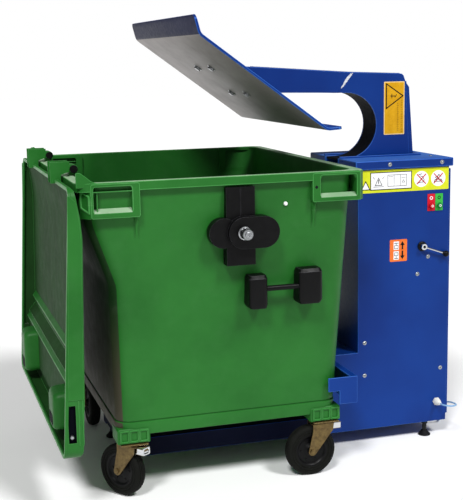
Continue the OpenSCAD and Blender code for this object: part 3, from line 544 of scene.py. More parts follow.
# %% tub
def tub_loop(z, inset=0.0, side=0):
    """The wall's loop at a height: each wall's reach is read off a line between known heights."""
    back = -np.interp(z, [244, 254, 825, 1060, 1204], [388, 398, 417, 500, 502])
    front = np.interp(z, [244, 254, 825, 1204], [458, 468, 488, 503])
    flank = np.interp(z, [244, 254, 1204], [488, 499, 601])
    return rounded(back + inset, front - inset, -flank + inset, flank - inset, 60 - inset, 7, side)


def smooth_tub_loop(z, inset=0.0):
    """The loop averaged over 24 mm of height, which rounds the wall's bends as a mould does."""
    return np.mean([tub_loop(np.clip(z + d, 244, 1204), inset) for d in (-12, -4, 4, 12)], axis=0)


outside = [(244, 10), (245, 5), (248, 1.5), (254, 0), (270, 0), (300, 0), (300.6, 3), (304, 3), (305, 0)]
outside += [(z, 0) for z in np.arange(310, 1190, 20)] + [(1200, 0)]
inside = [(1200, 5)] + [(z, 5) for z in np.arange(1190, 290, -20)] + [(270, 5), (258, 9), (251, 16), (249, 26)]
# The back wall's faces take painted shade and a painted floor reflection.
moulding("tub_shell", lofted([upright(smooth_tub_loop(z, i), z, "z") for z, i in outside + inside]), ["bin_tub"],
         looks=("green_plastic", "muddy_green"), which=lambda centre, normal: (normal[:, 0] < -0.6)
         & (centre[:, 0] < -300))

# %% [markdown]
# ## The rim
# The rim is a downturned flange that stiffens the mouth and carries the lifting comb. Its top is
# pale: scuffed by years of lids and lifting, and a painted highlight where it faces up. The section
# is written as how far each point lies between the tub's loop and the outer loop, and at what
# height, with a shallow bead on both edges.

# %% rim
outer_loop = rounded(-536.5, 536.5, -617, 617, 42, 7, side=99)
inner_loop = tub_loop(1204, side=99)


def rim_loop(share, z, inset=0.0):
    """Between the tub's mouth at share 0 and the rim's outer edge at 1, drawn in by inset. The skirt is
    cut up to 1190 behind the four corner frames, which leaves a dark slot above their shelves."""
    loop = inner_loop * (1 - share) + outer_loop * share
    behind_rear, behind_front = ((loop[:, 0] > low) & (loop[:, 0] < high) for low, high in ((-476, -341), (361, 501)))
    cut = (np.abs(loop[:, 1]) > 560) & (behind_rear | behind_front)
    ring_points = upright(loop - inset * np.sign(loop) * (np.abs(loop) > 300), z, "z")
    ring_points[cut, 2] = np.maximum(ring_points[cut, 2], 1190)
    return ring_points


rim_section = [rim_loop(0, 1197, 5), rim_loop(0, 1203, 5), rim_loop(0, 1205.5, 3.5), rim_loop(0, 1206, 1),
               rim_loop(0.22, 1206), rim_loop(0.3, 1205.4), rim_loop(0.36, 1203.6), rim_loop(0.64, 1203.6),
               rim_loop(0.7, 1205), rim_loop(0.78, 1205.4), rim_loop(1, 1205.4, 4), rim_loop(1, 1204.6, 1.4),
               rim_loop(1, 1203), rim_loop(1, 1200), rim_loop(1, 1177), rim_loop(1, 1175), rim_loop(1, 1174, 1),
               rim_loop(1, 1174, 4), rim_loop(1, 1175, 5), rim_loop(1, 1199, 5), rim_loop(0, 1199)]


def rim_face(centre, normal):
    """Pale where the rim looks up, scuffing and a painted highlight; the paler edge finish, wear and a
    painted highlight, on its rounded shoulders and its lower lip.
    """
    shoulder = (normal[:, 2] > 0.25) | (np.abs(centre[:, 2] - 1175) < 2)
    return np.where(normal[:, 2] > 0.75, 1, np.where(shoulder, 2, 0))


moulding("tub_rim", lofted(rim_section, ring=True), looks=("green_plastic", "green_top_scuff_and_highlight", "green_edge_wear_and_highlight"),
         which=rim_face)

# %% [markdown]
# ## Corner frames
# The four corners carry boxed frames that a lifting truck's arms slip into. A picture-frame loop
# does for each: out along the face, over a rounded edge, and back into the opening. Ribs cross
# the rear ones, and a small box with a slanting mouth sits on the cut-off corner beside them.


# %% frames
def picture_frame(outer, opening, out, depth, edge=3.0, radius=8.0):
    """A frame in the u-v plane: loops go up its outside, over the rounded edge, across its face and
    down into the opening. w is the distance out of the plane."""
    (a, b, c, d), (e, f, g, h) = outer, opening
    stack = [((a, b, c, d), 0, out - depth), ((a, b, c, d), 0, out - edge),
             ((a, b, c, d), 0.3 * edge, out - 0.3 * edge), ((a, b, c, d), edge, out), ((e, f, g, h), -edge, out),
             ((e, f, g, h), -0.3 * edge, out - 0.3 * edge), ((e, f, g, h), 0, out - edge),
             ((e, f, g, h), 0, out - depth)]
    return np.array([np.insert(rounded(u0 + i, u1 - i, v0 + i, v1 - i, max(radius - i, 2), 3, 2), 2, w, axis=1)
                     for (u0, u1, v0, v1), i, w in stack])


def on_near_side(loops):
    """u, v, w laid on the near face: u along x, v up, w toward -y."""
    return np.stack([loops[..., 0], -loops[..., 2], loops[..., 1]], -1)


rear_frame = lofted(on_near_side(picture_frame((-486, -312, 1080, 1202), (-476, -340, 1100, 1190), 618, 40)),
                    ring=True)
front_frame = lofted(on_near_side(picture_frame((328, 517, 1095, 1202), (360, 502, 1112, 1192), 618, 34)), ring=True)
rib_flat = slab([(-480, 1171), (-336, 1171), (-336, 1174.5), (-480, 1174.5)], -616, -585)
rib_tall = slab([(-464, 1094), (-460, 1094), (-460, 1172), (-464, 1172)], -610, -585)
ledge_rear = slab([(-618, 1101), (-590, 1113), (-590, 1099), (-618, 1099)], -477, -339, "x")
ledge_front = slab([(-618, 1113), (-592, 1124), (-592, 1111), (-618, 1111)], 359, 503, "x")
screw_hole = turned([(0, -619.2), (4.5, -619.2), (5.5, -618.4), (5.5, -612), (0, -612)], (343, 0, 1150), steps=20)
cut_corner = slab([(-486, -612), (-486, -617), (-518, -579), (-518, -540), (-478, -540), (-478, -600)], 1080, 1203,
                  "z")
front_corner = slab([(512, -617), (516, -617), (536.5, -593), (536.5, -500), (505, -500), (505, -600)], 1095, 1203,
                    "z")
gussets = [lofted([[(x - w, -592, z), (x + w, -592, z), (x + 0.5, d, z), (x - 0.5, d, z)]
                   for w, d, z in ((11, -612, 1099), (7, -599, 1060), (2, -589, 1012))]) for x in (-322, 342)]
# The frames' rounded lips take the paler edge finish: wear and a painted highlight.
moulding("corner_frames", mirrored(joined(rear_frame, front_frame)), looks=("green_plastic", "green_edge_wear_and_highlight"),
         which=lambda centre, normal: (np.abs(np.abs(centre[:, 1]) - 616.6) < 1.2) & (np.abs(normal[:, 1]) < 0.93))
moulding("corner_blocks", mirrored(joined(cut_corner, front_corner)), bevel=3, edge="green_edge_wear_and_highlight")
moulding("corner_ribs", mirrored(joined(rib_flat, rib_tall)), bevel=1, edge="green_edge_wear_and_highlight")
moulding("corner_gussets", mirrored(joined(*gussets)))
# The ledges look up and take the pale finish: scuffs and a painted highlight.
moulding("corner_ledges", mirrored(joined(ledge_rear, ledge_front)), looks=("green_top_scuff_and_highlight",))
# A black disc for each screw hole: painted shade.
moulding("corner_screw_hole_shade", mirrored(screw_hole), looks=("black_rubber",))

# The box on the cut-off corner: its plane runs along the cut, which turns through about 50 degrees.
cut_start, cut_end = np.array([-486.0, -617.0]), np.array([-518.0, -579.0])
cut_along = (cut_end - cut_start) / np.linalg.norm(cut_end - cut_start)
cut_out = np.array([cut_along[1], -cut_along[0]]) * -1
slant = picture_frame((4, 46, 1106, 1170), (10, 40, 1113, 1163), 5, 9, 2, 4)
slant_xy = cut_start + slant[..., :1] * cut_along + slant[..., 2:] * cut_out
slant_box = lofted(np.concatenate([slant_xy, slant[..., 1:2] + 0.45 * (slant[..., :1] - 25)], -1), ring=True)
# The slant boxes take the paler edge finish all over: a painted highlight with some wear.
moulding("corner_slant_boxes", mirrored(slant_box), looks=("green_edge_wear_and_highlight",))
print("cut corner runs along", np.round(cut_along, 2), "and faces", np.round(cut_out, 2))

# %% [markdown]
# ## Lower tub, wheel housings and hinge lugs
# A proud band runs round the foot of the tub, ribbed housings over the wheels take the plate
# bolts, and at the back the rim rises into two lugs and two corner plates that carry the lid.

# %% foot band, housings and lugs
band = lofted([upright(tub_loop(z, i), z, "z") for z, i in
               ((246, 1), (247, -3), (250, -4), (294, -4), (298, -3), (299.5, -1), (299.5, 1))], ring=True)
# The band's back faces take painted shade and a painted floor reflection.
moulding("tub_foot_band", band, looks=("green_plastic", "muddy_green"),
         which=lambda centre, normal: (normal[:, 0] < -0.6) & (centre[:, 0] < -300))
housings = []
for caster_x in (-340, 420):
    housings.append(lofted([np.insert(rounded(caster_x - 62 + i, caster_x + 62 - i, -506 + i, -400, 8 - i / 2, 3), 2,
                                      z, axis=1) for z, i in ((218, 3), (221, 0), (270, 0), (276, 5))]))
    housings += [lofted(on_near_side(picture_frame((caster_x + m - 17.5, caster_x + m + 17.5, 224, 272),
                                                   (caster_x + m - 12, caster_x + m + 12, 231, 266), 512, 9, 1.5, 4)),
                        ring=True) for m in (-36, 0, 36)]
# The housing frames' lips take the paler edge finish: wear and a painted highlight.
moulding("wheel_housings", mirrored(joined(*housings)), looks=("green_plastic", "green_edge_wear_and_highlight"),
         which=lambda centre, normal: (np.abs(centre[:, 1]) > 509) & (np.abs(normal[:, 1]) < 0.95))
half_turn = np.radians(np.linspace(0, 180, 13))
lug_arc = np.stack([-498 + 16 * np.cos(half_turn), 1231 + 16 * np.sin(half_turn)], -1)
lug_outline = np.concatenate([[(-482, 1200), (-482, 1231)], lug_arc[1:], [(-514, 1200)]])
corner_plate = [(-534.5, 1190), (-534.5, 1241), (-520.5, 1243), (-500, 1228), (-482, 1212), (-462, 1204),
                (-462, 1190)]
moulding("hinge_lugs", joined(*[slab(lug_outline, y - 18, y + 18) for y in (-315, 315)],
                              mirrored(slab(corner_plate, -615.5, -609))), bevel=1.5, edge="green_edge_wear_and_highlight")
wall_stud = turned([(0, -597), (3.5, -596.6), (6.5, -595), (7.5, -592), (7.5, -586), (0, -586)], (232, 0, 1093),
                   steps=24)
make("wall_studs", mirrored(wall_stud), "bin", "steel", looks=("white_film",))

# %% [markdown]
# ## The lid
# The lid is a wide shallow tray with a rolled lip. It hangs upside down behind the container, so its
# hollow side faces out. Its own solid already has the tray, the step and the hand slots, so its
# edges are rounded and a swept bead is laid on its lip, which is what catches the light.

# %% lid
LID_MIDDLE = 716  # its height above the floor when it hangs


def lid_face(centre, normal):
    """1 on the hollow side's faces, which look away from the container or towards the lid's middle: the
    darker green there is painted shade.
    """
    away = normal[:, 0] < -0.3
    towards_middle = (normal[:, 1] * centre[:, 1] < -500) | (normal[:, 2] * (centre[:, 2] - LID_MIDDLE) < -400)
    return (away | towards_middle).astype(int)


softened("lid_shell", 1.6, "green_edge_wear_and_highlight", looks=("green_plastic", "shaded_green"), sharp=25, which=lid_face)
lip_loop = rounded(-652, 652, 239, 1193, 43, 8, side=12)
lip_x = np.interp(lip_loop[:, 1], [236, 1196], [-619, -566])
lip_path = np.insert(lip_loop, 0, lip_x, axis=1)
lip_section = [(-1.5, -3), (0.5, -3.5), (9, -3.5), (10, -2.5), (10, 9), (7, 11), (1, 11), (-1.5, 9.5), (-2.5, 5)]
# The bead's faces on the hollow side take the paler edge finish, a painted highlight with wear.
moulding("lid_lip", swept(lip_path, lip_section, closed=True, side=(1, 0, 0)), body="lid",
         looks=("green_plastic", "green_edge_wear_and_highlight"), sharp=60,
         which=lambda centre, normal: (normal[:, 0] < -0.3).astype(int))


def lid_grip(y, low, high):
    """A moulded lifting grip: rounded rectangles shrink toward its top."""
    stack = [(-571, 0), (-606, 2), (-620, 5), (-627, 10), (-631, 18), (-631.6, 30)]
    outlines = [rounded(y - 70 + i, y + 70 - i, low + i / 3, high - i * 1.3, 26 - i / 3, 6) for _, i in stack]
    return lofted([upright(outline, x, "x") for outline, (x, _) in zip(outlines, stack)])


def grip_mouth(y, low):
    """The raised lip round the open mouth in a grip's lower half. The dark hollow inside it is a separate
    dark slab of painted shade.
    """
    ring = picture_frame((y - 50, y + 50, low + 8, low + 62), (y - 42, y + 42, low + 15, low + 55), 0, 4, 1.5, 16)
    return lofted(np.stack([-631.8 - ring[..., 2], ring[..., 0], ring[..., 1]], -1), ring=True)


grips = ((-430, 296, 440), (430, 286, 464))
moulding("lid_grips_made", joined(*[lid_grip(*g) for g in grips]), ["lid_grips"], body="lid", sharp=50)
moulding("lid_grip_lips", joined(*[grip_mouth(y, low) for y, low, _ in grips]), body="lid")
# A dark slab in each grip's mouth: painted shade.
mouths = [slab(rounded(y - 43, y + 43, low + 14, low + 56, 14, 4), -632.6, -629, "x") for y, low, _ in grips]
moulding("lid_grip_mouth_shade", joined(*mouths), body="lid", looks=("painted_shade_navy",))
ridges = [slab([(-535, 601), (-556, 574), (-556, 568), (-535, 560)], -622, 622),
          slab([(-570, 497), (-584, 481), (-584, 476), (-570, 470)], -630, 630)]
moulding("lid_ridges", joined(*ridges), body="lid", bevel=1.5, edge="green_edge_wear_and_highlight")
side_skin = [(-598, 456), (-545, 456), (-530.5, 1020), (-535, 1090), (-545, 1150), (-566, 1170), (-572, 1170)]
side_ribs = [slab([(x - 2, 290), (x + 2, 290), (x + 3, 452), (x - 1, 452)], -657.5, -653) for x in (-564, -550)]
moulding("lid_side_step", mirrored(joined(slab(side_skin, -658, -654), *side_ribs)), body="lid", bevel=1,
         edge="green_edge_wear_and_highlight")
# A thin sheet at the back of each slot, darker green and near-black: painted shade.
slot_back = slab([(-604, 298), (-573, 298), (-573, 438), (-604, 438)], -643, -642)
moulding("lid_slot_backs", mirrored(slot_back), body="lid", looks=("shaded_green", "painted_shade_navy"),
         which=lambda centre, normal: (normal[:, 1] * centre[:, 1] > 600).astype(int))
slot_bolt = turned([(0, -659), (5, -658.4), (7, -656), (7, -640), (0, -640)], (-590, 0, 322), steps=20)
make("lid_slot_bolts", mirrored(slot_bolt), "lid", "steel", looks=("steel",))
softened("lid_hinge_pins", 1.5)

# %% [markdown]
# ## Lifting pins, their brackets and the side handle
# Trucks lift the container by a pin on each side. It stands on a black nylon bracket with a round-
# ended flange. The bracket's own solid is kept and its edges are rounded and given a paler finish,
# a painted highlight with some wear. The pin is a lathe shape with a collar, a groove and a hexagon end.

# %% trunnions and handles
trunnion = (56, 0, 1003)
softened("trunnion_mounts", 4, "black_edge_wear_and_highlight")
pin = turned([(0, -606), (15.5, -606), (15.5, -646), (24, -647), (24, -651), (20, -652.5), (20, -668), (18.8, -669),
              (18.8, -671), (20, -672), (20, -687), (18, -690), (0, -690)], trunnion, steps=48)
pin_end = turned([(0, -689), (12, -689), (12, -695), (10.5, -696), (6, -696), (5, -693.5), (0, -693.5)], trunnion,
                 steps=6)


def pin_face(centre, normal):
    """Bright steel on the hexagon end and round the collar, dark elsewhere."""
    from_middle = np.abs(centre[:, 1])
    return (from_middle > 688) | (np.abs(from_middle - 649) < 3)


make("trunnion_pins_made", mirrored(joined(pin, pin_end)), "bin", "steel", ["trunnion_pins"],
     looks=("cylinder_paint", "steel"), which=pin_face)
softened("side_handle_blocks", 2, "black_edge_wear_and_highlight")
ribs = [(10 + 0.5 * (k % 2), 158 + 2 * k) for k in range(55)]
bar_rings = [(0, 144), (10, 144), (10, 156), *ribs, (10, 270), (10, 282), (0, 282)]
make("side_handle_bars_made", mirrored(turned(bar_rings, (0, -602, 786), "x", 32)), "bin", "black_plastic",
     ["side_handle_bars"])

# %% [markdown]
# ## Casters
# Each wheel is a solid rubber tyre on a black hub in a pressed, yellow-zinc fork that swivels under
# a bolted plate. The tyre is a lathe shape with the rings and the tread grooves of its mould, the
# wheel lock is a bright plated clip beside the swivel. All four are the same, turned in plan.

# %% casters
tyre_half = np.array([(64, -20), (69, -21), (70, -19.8), (72, -19.8), (73, -21.6), (79, -22.8), (80, -21.6),
                      (82, -21.6), (83, -23.2), (88, -23.6), (92.5, -22), (96.5, -18.5), (98.9, -13.5), (99.2, -13),
                      (97.8, -12), (97.8, -10.6), (99.6, -10), (100, -5), (98.4, -4.4), (98.4, -2.6), (100, -2)])
tyre_profile = np.concatenate([tyre_half, tyre_half[::-1] * [1, -1]])
hub_profile = np.array([(6.2, -27), (15, -27), (16, -26), (18, -20.5), (29, -13), (31, -12), (50, -12), (53, -13),
                        (58, -19.5), (60, -20.5), (64, -20.5)])
hub_profile = np.concatenate([hub_profile, hub_profile[::-1] * [1, -1]])


def at_caster(shape, number):
    """A shape drawn with the wheel trailing along +x, turned in plan and moved under its corner."""
    points, faces = shape
    x, y = ((-340, -475), (420, -475), (-340, 475), (420, 475))[number - 1]
    angle = math.radians((126, 180, 270, 190)[number - 1])
    spin = np.array([[math.cos(angle), math.sin(angle), 0], [-math.sin(angle), math.cos(angle), 0], [0, 0, 1]])
    return points @ spin + [x, y, 0], faces


axle = (55, 0, 100)
hub_bolts = [turned([(0, s * 14), (4, s * 14), (4.5, s * 13.2), (4.5, s * 11), (0, s * 11)],
                    (axle[0] + 41 * math.cos(a), 0, axle[2] + 41 * math.sin(a)), steps=6)
             for a in np.radians(range(0, 360, 60)) for s in (-1, 1)]
for number in (1, 2, 3, 4):
    make(f"tyre_{number}_made", at_caster(turned(tyre_profile, axle, steps=72, ring=True), number),
         f"wheel_{number}", "tyre_rubber", [f"tyre_{number}"], sharp=40)
    hub = joined(turned(hub_profile, axle, steps=64, ring=True), *hub_bolts)
    make(f"wheel_hub_{number}_made", at_caster(hub, number), f"wheel_{number}", slot_of[f"wheel_hub_{number}"],
         [f"wheel_hub_{number}"], looks=("black_plastic",), sharp=28)
    softened(f"caster_fork_{number}", 1.2)
    clip = picture_frame((-21, 21, 178, 208), (-13, 13, 185, 201), 67.5, 40, 2.5, 6)
    clip = lofted(np.stack([-clip[..., 2], clip[..., 0], clip[..., 1]], -1), ring=True)
    pedal = slab(rounded(-11, 11, 187, 198, 3, 3), -65, -40, "x")
    make(f"wheel_lock_{number}", at_caster(joined(clip, pedal), number), f"caster_{number}", "steel",
         looks=("chrome_rod",))
softened("caster_plates", 1.2)

# %% [markdown]
# ## The swinging arm
# The arm is a welded box: two flame-cut side plates, webs between them round the throat, and a
# stiffener behind. Its edges are ground before painting. One seam on the near side was rewelded and
# left bare, a ragged bright line that slants down from the top edge, so it is a piece of its own.

# %% arm
# The arm's bevels take the paler edge finish: thin paint and a painted highlight.
for node, bevel in (("arm_side_plates", 1.8), ("plate_bracket", 2)):
    softened(node, bevel, "blue_edge_wear_and_highlight", flat=0.5)
# The throat web's faces are painted near-black: painted shade.
softened("arm_webs", 1.2, flat=0.5, looks=("blue_paint", "painted_shade_navy"),
         which=lambda centre, normal: (centre[:, 0] > 640) & (centre[:, 0] < 860) & (centre[:, 2] < 1480))
for node, bevel in (("arm_hub", 1.5), ("arm_tail_pin", 1), ("pivot_shaft", 1.5), ("plate_bolts", 1)):
    softened(node, bevel)


def bead(path, radius, seed):
    """A weld: a round section along a path, swelling every 5 mm where the pool froze."""
    path = np.asarray(path, float)
    reach = np.concatenate([[0], np.cumsum(np.linalg.norm(np.diff(path, axis=0), axis=1))])
    steps = np.arange(0, reach[-1], 1.6)
    fine = np.stack([np.interp(steps, reach, path[:, k]) for k in range(3)], -1)
    wobble = np.random.default_rng(seed).normal(0, 0.05, len(steps))
    return swept(fine, disc(radius, 8), side=ACROSS, size=1 + 0.1 * np.cos(steps * 2 * np.pi / 5) + wobble)


plate_angle = math.radians(36.2)
plate_dir = np.array([math.cos(plate_angle), -math.sin(plate_angle)])
plate_up = np.array([math.sin(plate_angle), math.cos(plate_angle)])


def on_plate(s, h):
    """A point on the press plate in x and z: s down its slope from the upper bend, h above its middle."""
    return np.array([-57, 1705]) + s * plate_dir + h * plate_up


top_run = [(277, 1582), (707, 1551), (937, 1541)]
welds = [bead([(x, y, z - 1) for x, z in top_run], 3, k) for k, y in enumerate((-61.5, 61.5))]
foot = [on_plate(214, 17), on_plate(408, 17)]
welds += [bead([(p[0], y, p[1]) for p in foot], 4.5, 5) for y in (-71, 71)]
welds += [bead([(x, y, z) for x, z in ((963, 1509), (981, 1197), (1000, 1060))], 3.2, 9) for y in (-66.5, 66.5)]
make("arm_welds", joined(*welds), "arm", "blue_paint")

# The bare seam: three ragged strokes side by side, each an outline that jumps in and out.
jump = np.random.default_rng(4)
seam_strokes = []
for shift, first, last, width in ((-5, 0.05, 0.42, 3.2), (0, 0.0, 0.72, 4.2), (5.5, 0.1, 0.66, 3.0),
                                  (9.5, 0.02, 0.3, 2.0)):
    share = np.linspace(first, last, 26)
    centre = np.stack([712 - 62 * share + shift, 1546 - 84 * share + 0.5 * shift], -1)
    reach = width * (0.45 + 0.75 * jump.random((26, 2))) * np.sin(np.pi * np.linspace(0.08, 0.92, 26))[:, None] ** 0.5
    normal = np.array([84, -62]) / 104.4
    edge_loop = np.concatenate([centre + reach[:, :1] * normal, (centre - reach[:, 1:] * normal)[::-1]])
    seam_strokes.append(slab(edge_loop, -71.1 - 0.2 * abs(shift) / 5, -69.8))
# The seam is bare steel, and its white colour is partly a painted highlight.
make("arm_bare_seam", joined(*seam_strokes), "arm", "steel", looks=("bare_weld_highlight",))
make("arm_seam_foot", bead([(667, -70, 1486), (655, -70, 1469)], 2.4, 3), "arm", "blue_paint")

# %% [markdown]
# ## The press plate
# A 10 mm plate with its long edges folded: up at the far end so that waste isn't thrown out, and
# level at the near end. The surface is a path of rounded bends times a width that narrows round the
# corners. Its face towards the waste has lost its paint and is scuffed bright, the rest is blue.

# %% press plate
bend_a, bend_b = on_plate(0, 0), on_plate(600, 0)
ends = bend_a + [-18, 68], bend_b + [62, 4]


def bend(corner, before, after):
    """A rounded bend: the curve pulled towards the corner between points 13 mm short of it on both sides."""
    cut = 13
    start = corner + cut * (before - corner) / np.linalg.norm(before - corner)
    end = corner + cut * (after - corner) / np.linalg.norm(after - corner)
    t = np.linspace(0, 1, 9)[:, None]
    return (1 - t) ** 2 * start + 2 * t * (1 - t) * corner + t**2 * end


corner_r = 22
near_end = np.linspace(0, 1, 9)[:, None] ** 1.6 * corner_r
lead_in = ends[0] + near_end * (bend_a - ends[0]) / np.linalg.norm(bend_a - ends[0])
lead_out = (ends[1] + near_end * (bend_b - ends[1]) / np.linalg.norm(bend_b - ends[1]))[::-1]
line = np.concatenate([lead_in, bend(bend_a, ends[0], bend_b), bend(bend_b, bend_a, ends[1]), lead_out])
from_end = np.minimum(np.linalg.norm(line - ends[0], axis=1), np.linalg.norm(line - ends[1], axis=1))
half_width = 521 - corner_r + np.sqrt(corner_r**2 - np.clip(corner_r - from_end, 0, corner_r) ** 2)
tangent = np.gradient(line, axis=0)
tangent /= np.linalg.norm(tangent, axis=1)[:, None]
upward = np.stack([-tangent[:, 1], tangent[:, 0]], -1)
section = np.stack([rounded(-w, w, -5, 5, 2.2, 3) for w in half_width])
loops = line[:, None] + section[..., 1:] * upward[:, None]
plate_shape = lofted(np.stack([loops[..., 0], section[..., 0], loops[..., 1]], -1))


def plate_face(centre, normal):
    """Bare on the pressing face between the bends, a darker scuffed navy under the upper fold that paints
    its shade, the paler edge finish where the ends round over as thin paint and a painted highlight,
    blue elsewhere."""
    from_middle, endways = np.abs(centre[:, 1]), np.abs(normal[:, 1])
    under = normal[:, 0] * plate_up[0] + normal[:, 2] * plate_up[1] < -0.93
    inner = from_middle < 519
    flat = np.where(inner & under, 1, np.where(inner & (normal[:, 0] < -0.7), 3, 0))
    return np.where((from_middle > 517) & (endways < 0.97) & (endways > 0.2), 2, flat)


make("press_plate_made", plate_shape, "arm", "worn_steel", ["press_plate"], sharp=40,
     looks=("blue_paint", "worn_steel", "blue_edge_wear_and_highlight", "scuffed_shaded_navy"), which=plate_face)
tilt_back = np.array([[plate_dir[0], 0, plate_dir[1]], [0, 1, 0], [plate_up[0], 0, plate_up[1]]])
washers = []
for s in (203, 381):
    for y in (-100, 100):
        washer = [(9, -7.6), (17.5, -7.6), (18.5, -7), (18.5, -5), (9, -5)]
        ring_points, ring_faces = turned(washer, (0, 0, 0), "z", 32, ring=True)
        washers.append((ring_points @ tilt_back + [on_plate(s, 0)[0], y, on_plate(s, 0)[1]], ring_faces))
make("plate_washers", joined(*washers), "arm", "steel")
print("press plate spans", np.round(line.min(0)), "to", np.round(line.max(0)))

# %% [markdown]
# ## Cabinet, cover and base
# The cabinet is folded 3 mm sheet on a frame of square tube that reaches under the container. The
# panels keep their CAD shape with a small fold radius. The cover's outline is pulled up as a slab
# instead, because a sheet's own edges are too thin to take the 5 mm radius that its folds have.

# %% cabinet
# The panels' bevels take the paler edge finish: thin paint and a painted highlight.
for node, bevel in (("side_panel_near", 1.3), ("side_panel_far", 1.3), ("front_panel", 1.3), ("rear_panel", 1.4),
                    ("base_tray", 1.2), ("catch_bar", 1.6), ("slot_collar", 2), ("pivot_brackets", 2)):
    softened(node, bevel, "blue_edge_wear_and_highlight")
# The frame's part under the container is painted darker: painted shade.
softened("base_frame", 1.8, "blue_paint", looks=("blue_paint", "under_bin_shade_navy"),
         which=lambda centre, normal: (centre[:, 0] < 640).astype(int))
cover_outline = [(655, -255), (1093, -255), (1093, 255), (655, 255), (655, 77), (1010, 77), (1010, -77), (655, -77)]
# The cover's upward faces are painted lighter: a painted highlight.
make("top_cover_made", slab(cover_outline, 1162, 1197, "z"), "machine", "blue_paint", ["top_cover"], bevel=4,
     edge="blue_edge_wear_and_highlight", looks=("blue_paint", "blue_top_highlight"),
     which=lambda centre, normal: (normal[:, 2] > 0.9).astype(int))
softened("foot_studs", 1, looks=("cylinder_paint",))
softened("foot_pads", 1.2)

# %% [markdown]
# ## Printed labels
# The labels are printed film. Real ones are one print, but flat shapes a quarter of a millimetre
# thick keep sharp edges at any distance. They show generic signs: a warning triangle, a drawing of
# the machine, two things not to throw in, and arrows for the lever. No words are printed.


# %% drawing on a label
FILM = 0.25  # how far each layer of film or ink stands proud, in mm


def stroke(points, width, level, lift=0.35):
    """A line of some width on the near side: a thin slab for each straight run."""
    points = np.asarray(points, float)
    runs = []
    for a, b in zip(points[:-1], points[1:]):
        along = (b - a) / np.linalg.norm(b - a)
        wide = width / 2 * np.array([-along[1], along[0]])
        a, b = a - along * width / 2, b + along * width / 2
        runs.append(slab([a - wide, b - wide, b + wide, a + wide], level - lift, level))
    return joined(*runs)


def signs(level, *lines):
    """Strokes at one level, each written as its width and then its points."""
    return [stroke(points, width, level) for width, *points in lines]


def box(u0, u1, v0, v1):
    """The five points of a line that runs once round a rectangle."""
    return (u0, v0), (u1, v0), (u1, v1), (u0, v1), (u0, v0)


def patch(u0, u1, v0, v1, level, radius, lift=FILM):
    """A flat rectangle of film with round corners."""
    return slab(rounded(u0, u1, v0, v1, radius, 3), level - lift, level)


def spot(u, v, radius, level):
    """A round film patch."""
    return slab(disc(radius, 36) + [u, v], level - FILM, level)


def printed(name, shape, look="label_film", body="machine", stands_for=()):
    """A piece of film or ink in one colour."""
    make(name, shape, body, "label_film", stands_for, looks=(look,))


# %% the long yellow label and the lever's orange label
side_y = -245
film = -245.5
printed("label_yellow", patch(682, 1076, 1066, 1158, side_y, 3, 0.5), stands_for=["warning_labels"])
printed("label_white_parts", joined(patch(724, 906, 1078, 1148, film, 1), spot(951, 1113, 33, film),
                                    spot(1028, 1113, 33, film),
                                    slab([(686, 1082), (718, 1082), (702, 1112)], film - FILM, film)), "white_film")
ink = film - FILM
drawing = signs(
    ink, (3.4, *box(724, 906, 1078, 1148)), (3.2, (684, 1080), (720, 1080), (702, 1114), (684, 1080)),
    (2.2, (744, 1096), (774, 1096), (759, 1126), (744, 1096)), (3, (759, 1104), (759, 1117)),
    (1.6, (737, 1090), (781, 1090)), (1.6, (776, 1122), (784, 1130)), (1.6, (742, 1122), (734, 1130)),
    (1.6, *box(800, 884, 1090, 1136)), (1.2, (828, 1090), (828, 1136)), (1.2, (856, 1090), (856, 1136)),
    (1.4, (864, 1104), (876, 1104), (870, 1114), (864, 1104)), (1.6, (862, 1124), (878, 1124)),
    (1.2, (806, 1130), (822, 1130)),
    (2.4, (936, 1096), (944, 1100), (958, 1100), (964, 1108), (958, 1122), (946, 1126)),
    (2.6, (940, 1132), (952, 1134)), (2.6, (1010, 1100), (1046, 1100), (1042, 1108), (1014, 1108), (1010, 1100)),
    (3, (1018, 1108), (1030, 1128), (1040, 1120)), (2.4, (1014, 1116), (1024, 1122)))
printed("label_ink", joined(*drawing), "black_film")
crosses = [stroke([(u - 19, 1113 + s * 19), (u + 19, 1113 - s * 19)], 4.2, ink - 0.3)
           for u in (951, 1028) for s in (-1, 1)]
printed("label_crosses", joined(*crosses), "red_film")
printed("label_orange", patch(811, 889, 775, 867, side_y, 4, 0.5), "orange_film")
printed("label_orange_signs", joined(patch(828, 852, 824, 859, film, 1.5), patch(828, 852, 783, 818, film, 1.5)),
        "white_film")
lever_signs = signs(
    ink, (1.8, *box(832, 848, 829, 842)), (2.4, (832, 852), (848, 852)), (2, (840, 843), (840, 851)),
    (2.4, (832, 788), (848, 788)), (2, (840, 789), (840, 797)), (1.8, *box(832, 848, 800, 812)))
lever_signs += signs(film, (7, (868, 828), (868, 842)), (7, (868, 816), (868, 802)))
lever_signs += [slab(arrow, film - 0.35, film) for arrow in ([(858, 843), (878, 843), (868, 859)],
                                                             [(858, 799), (868, 783), (878, 799)])]
printed("label_orange_ink", joined(*lever_signs), "black_film")

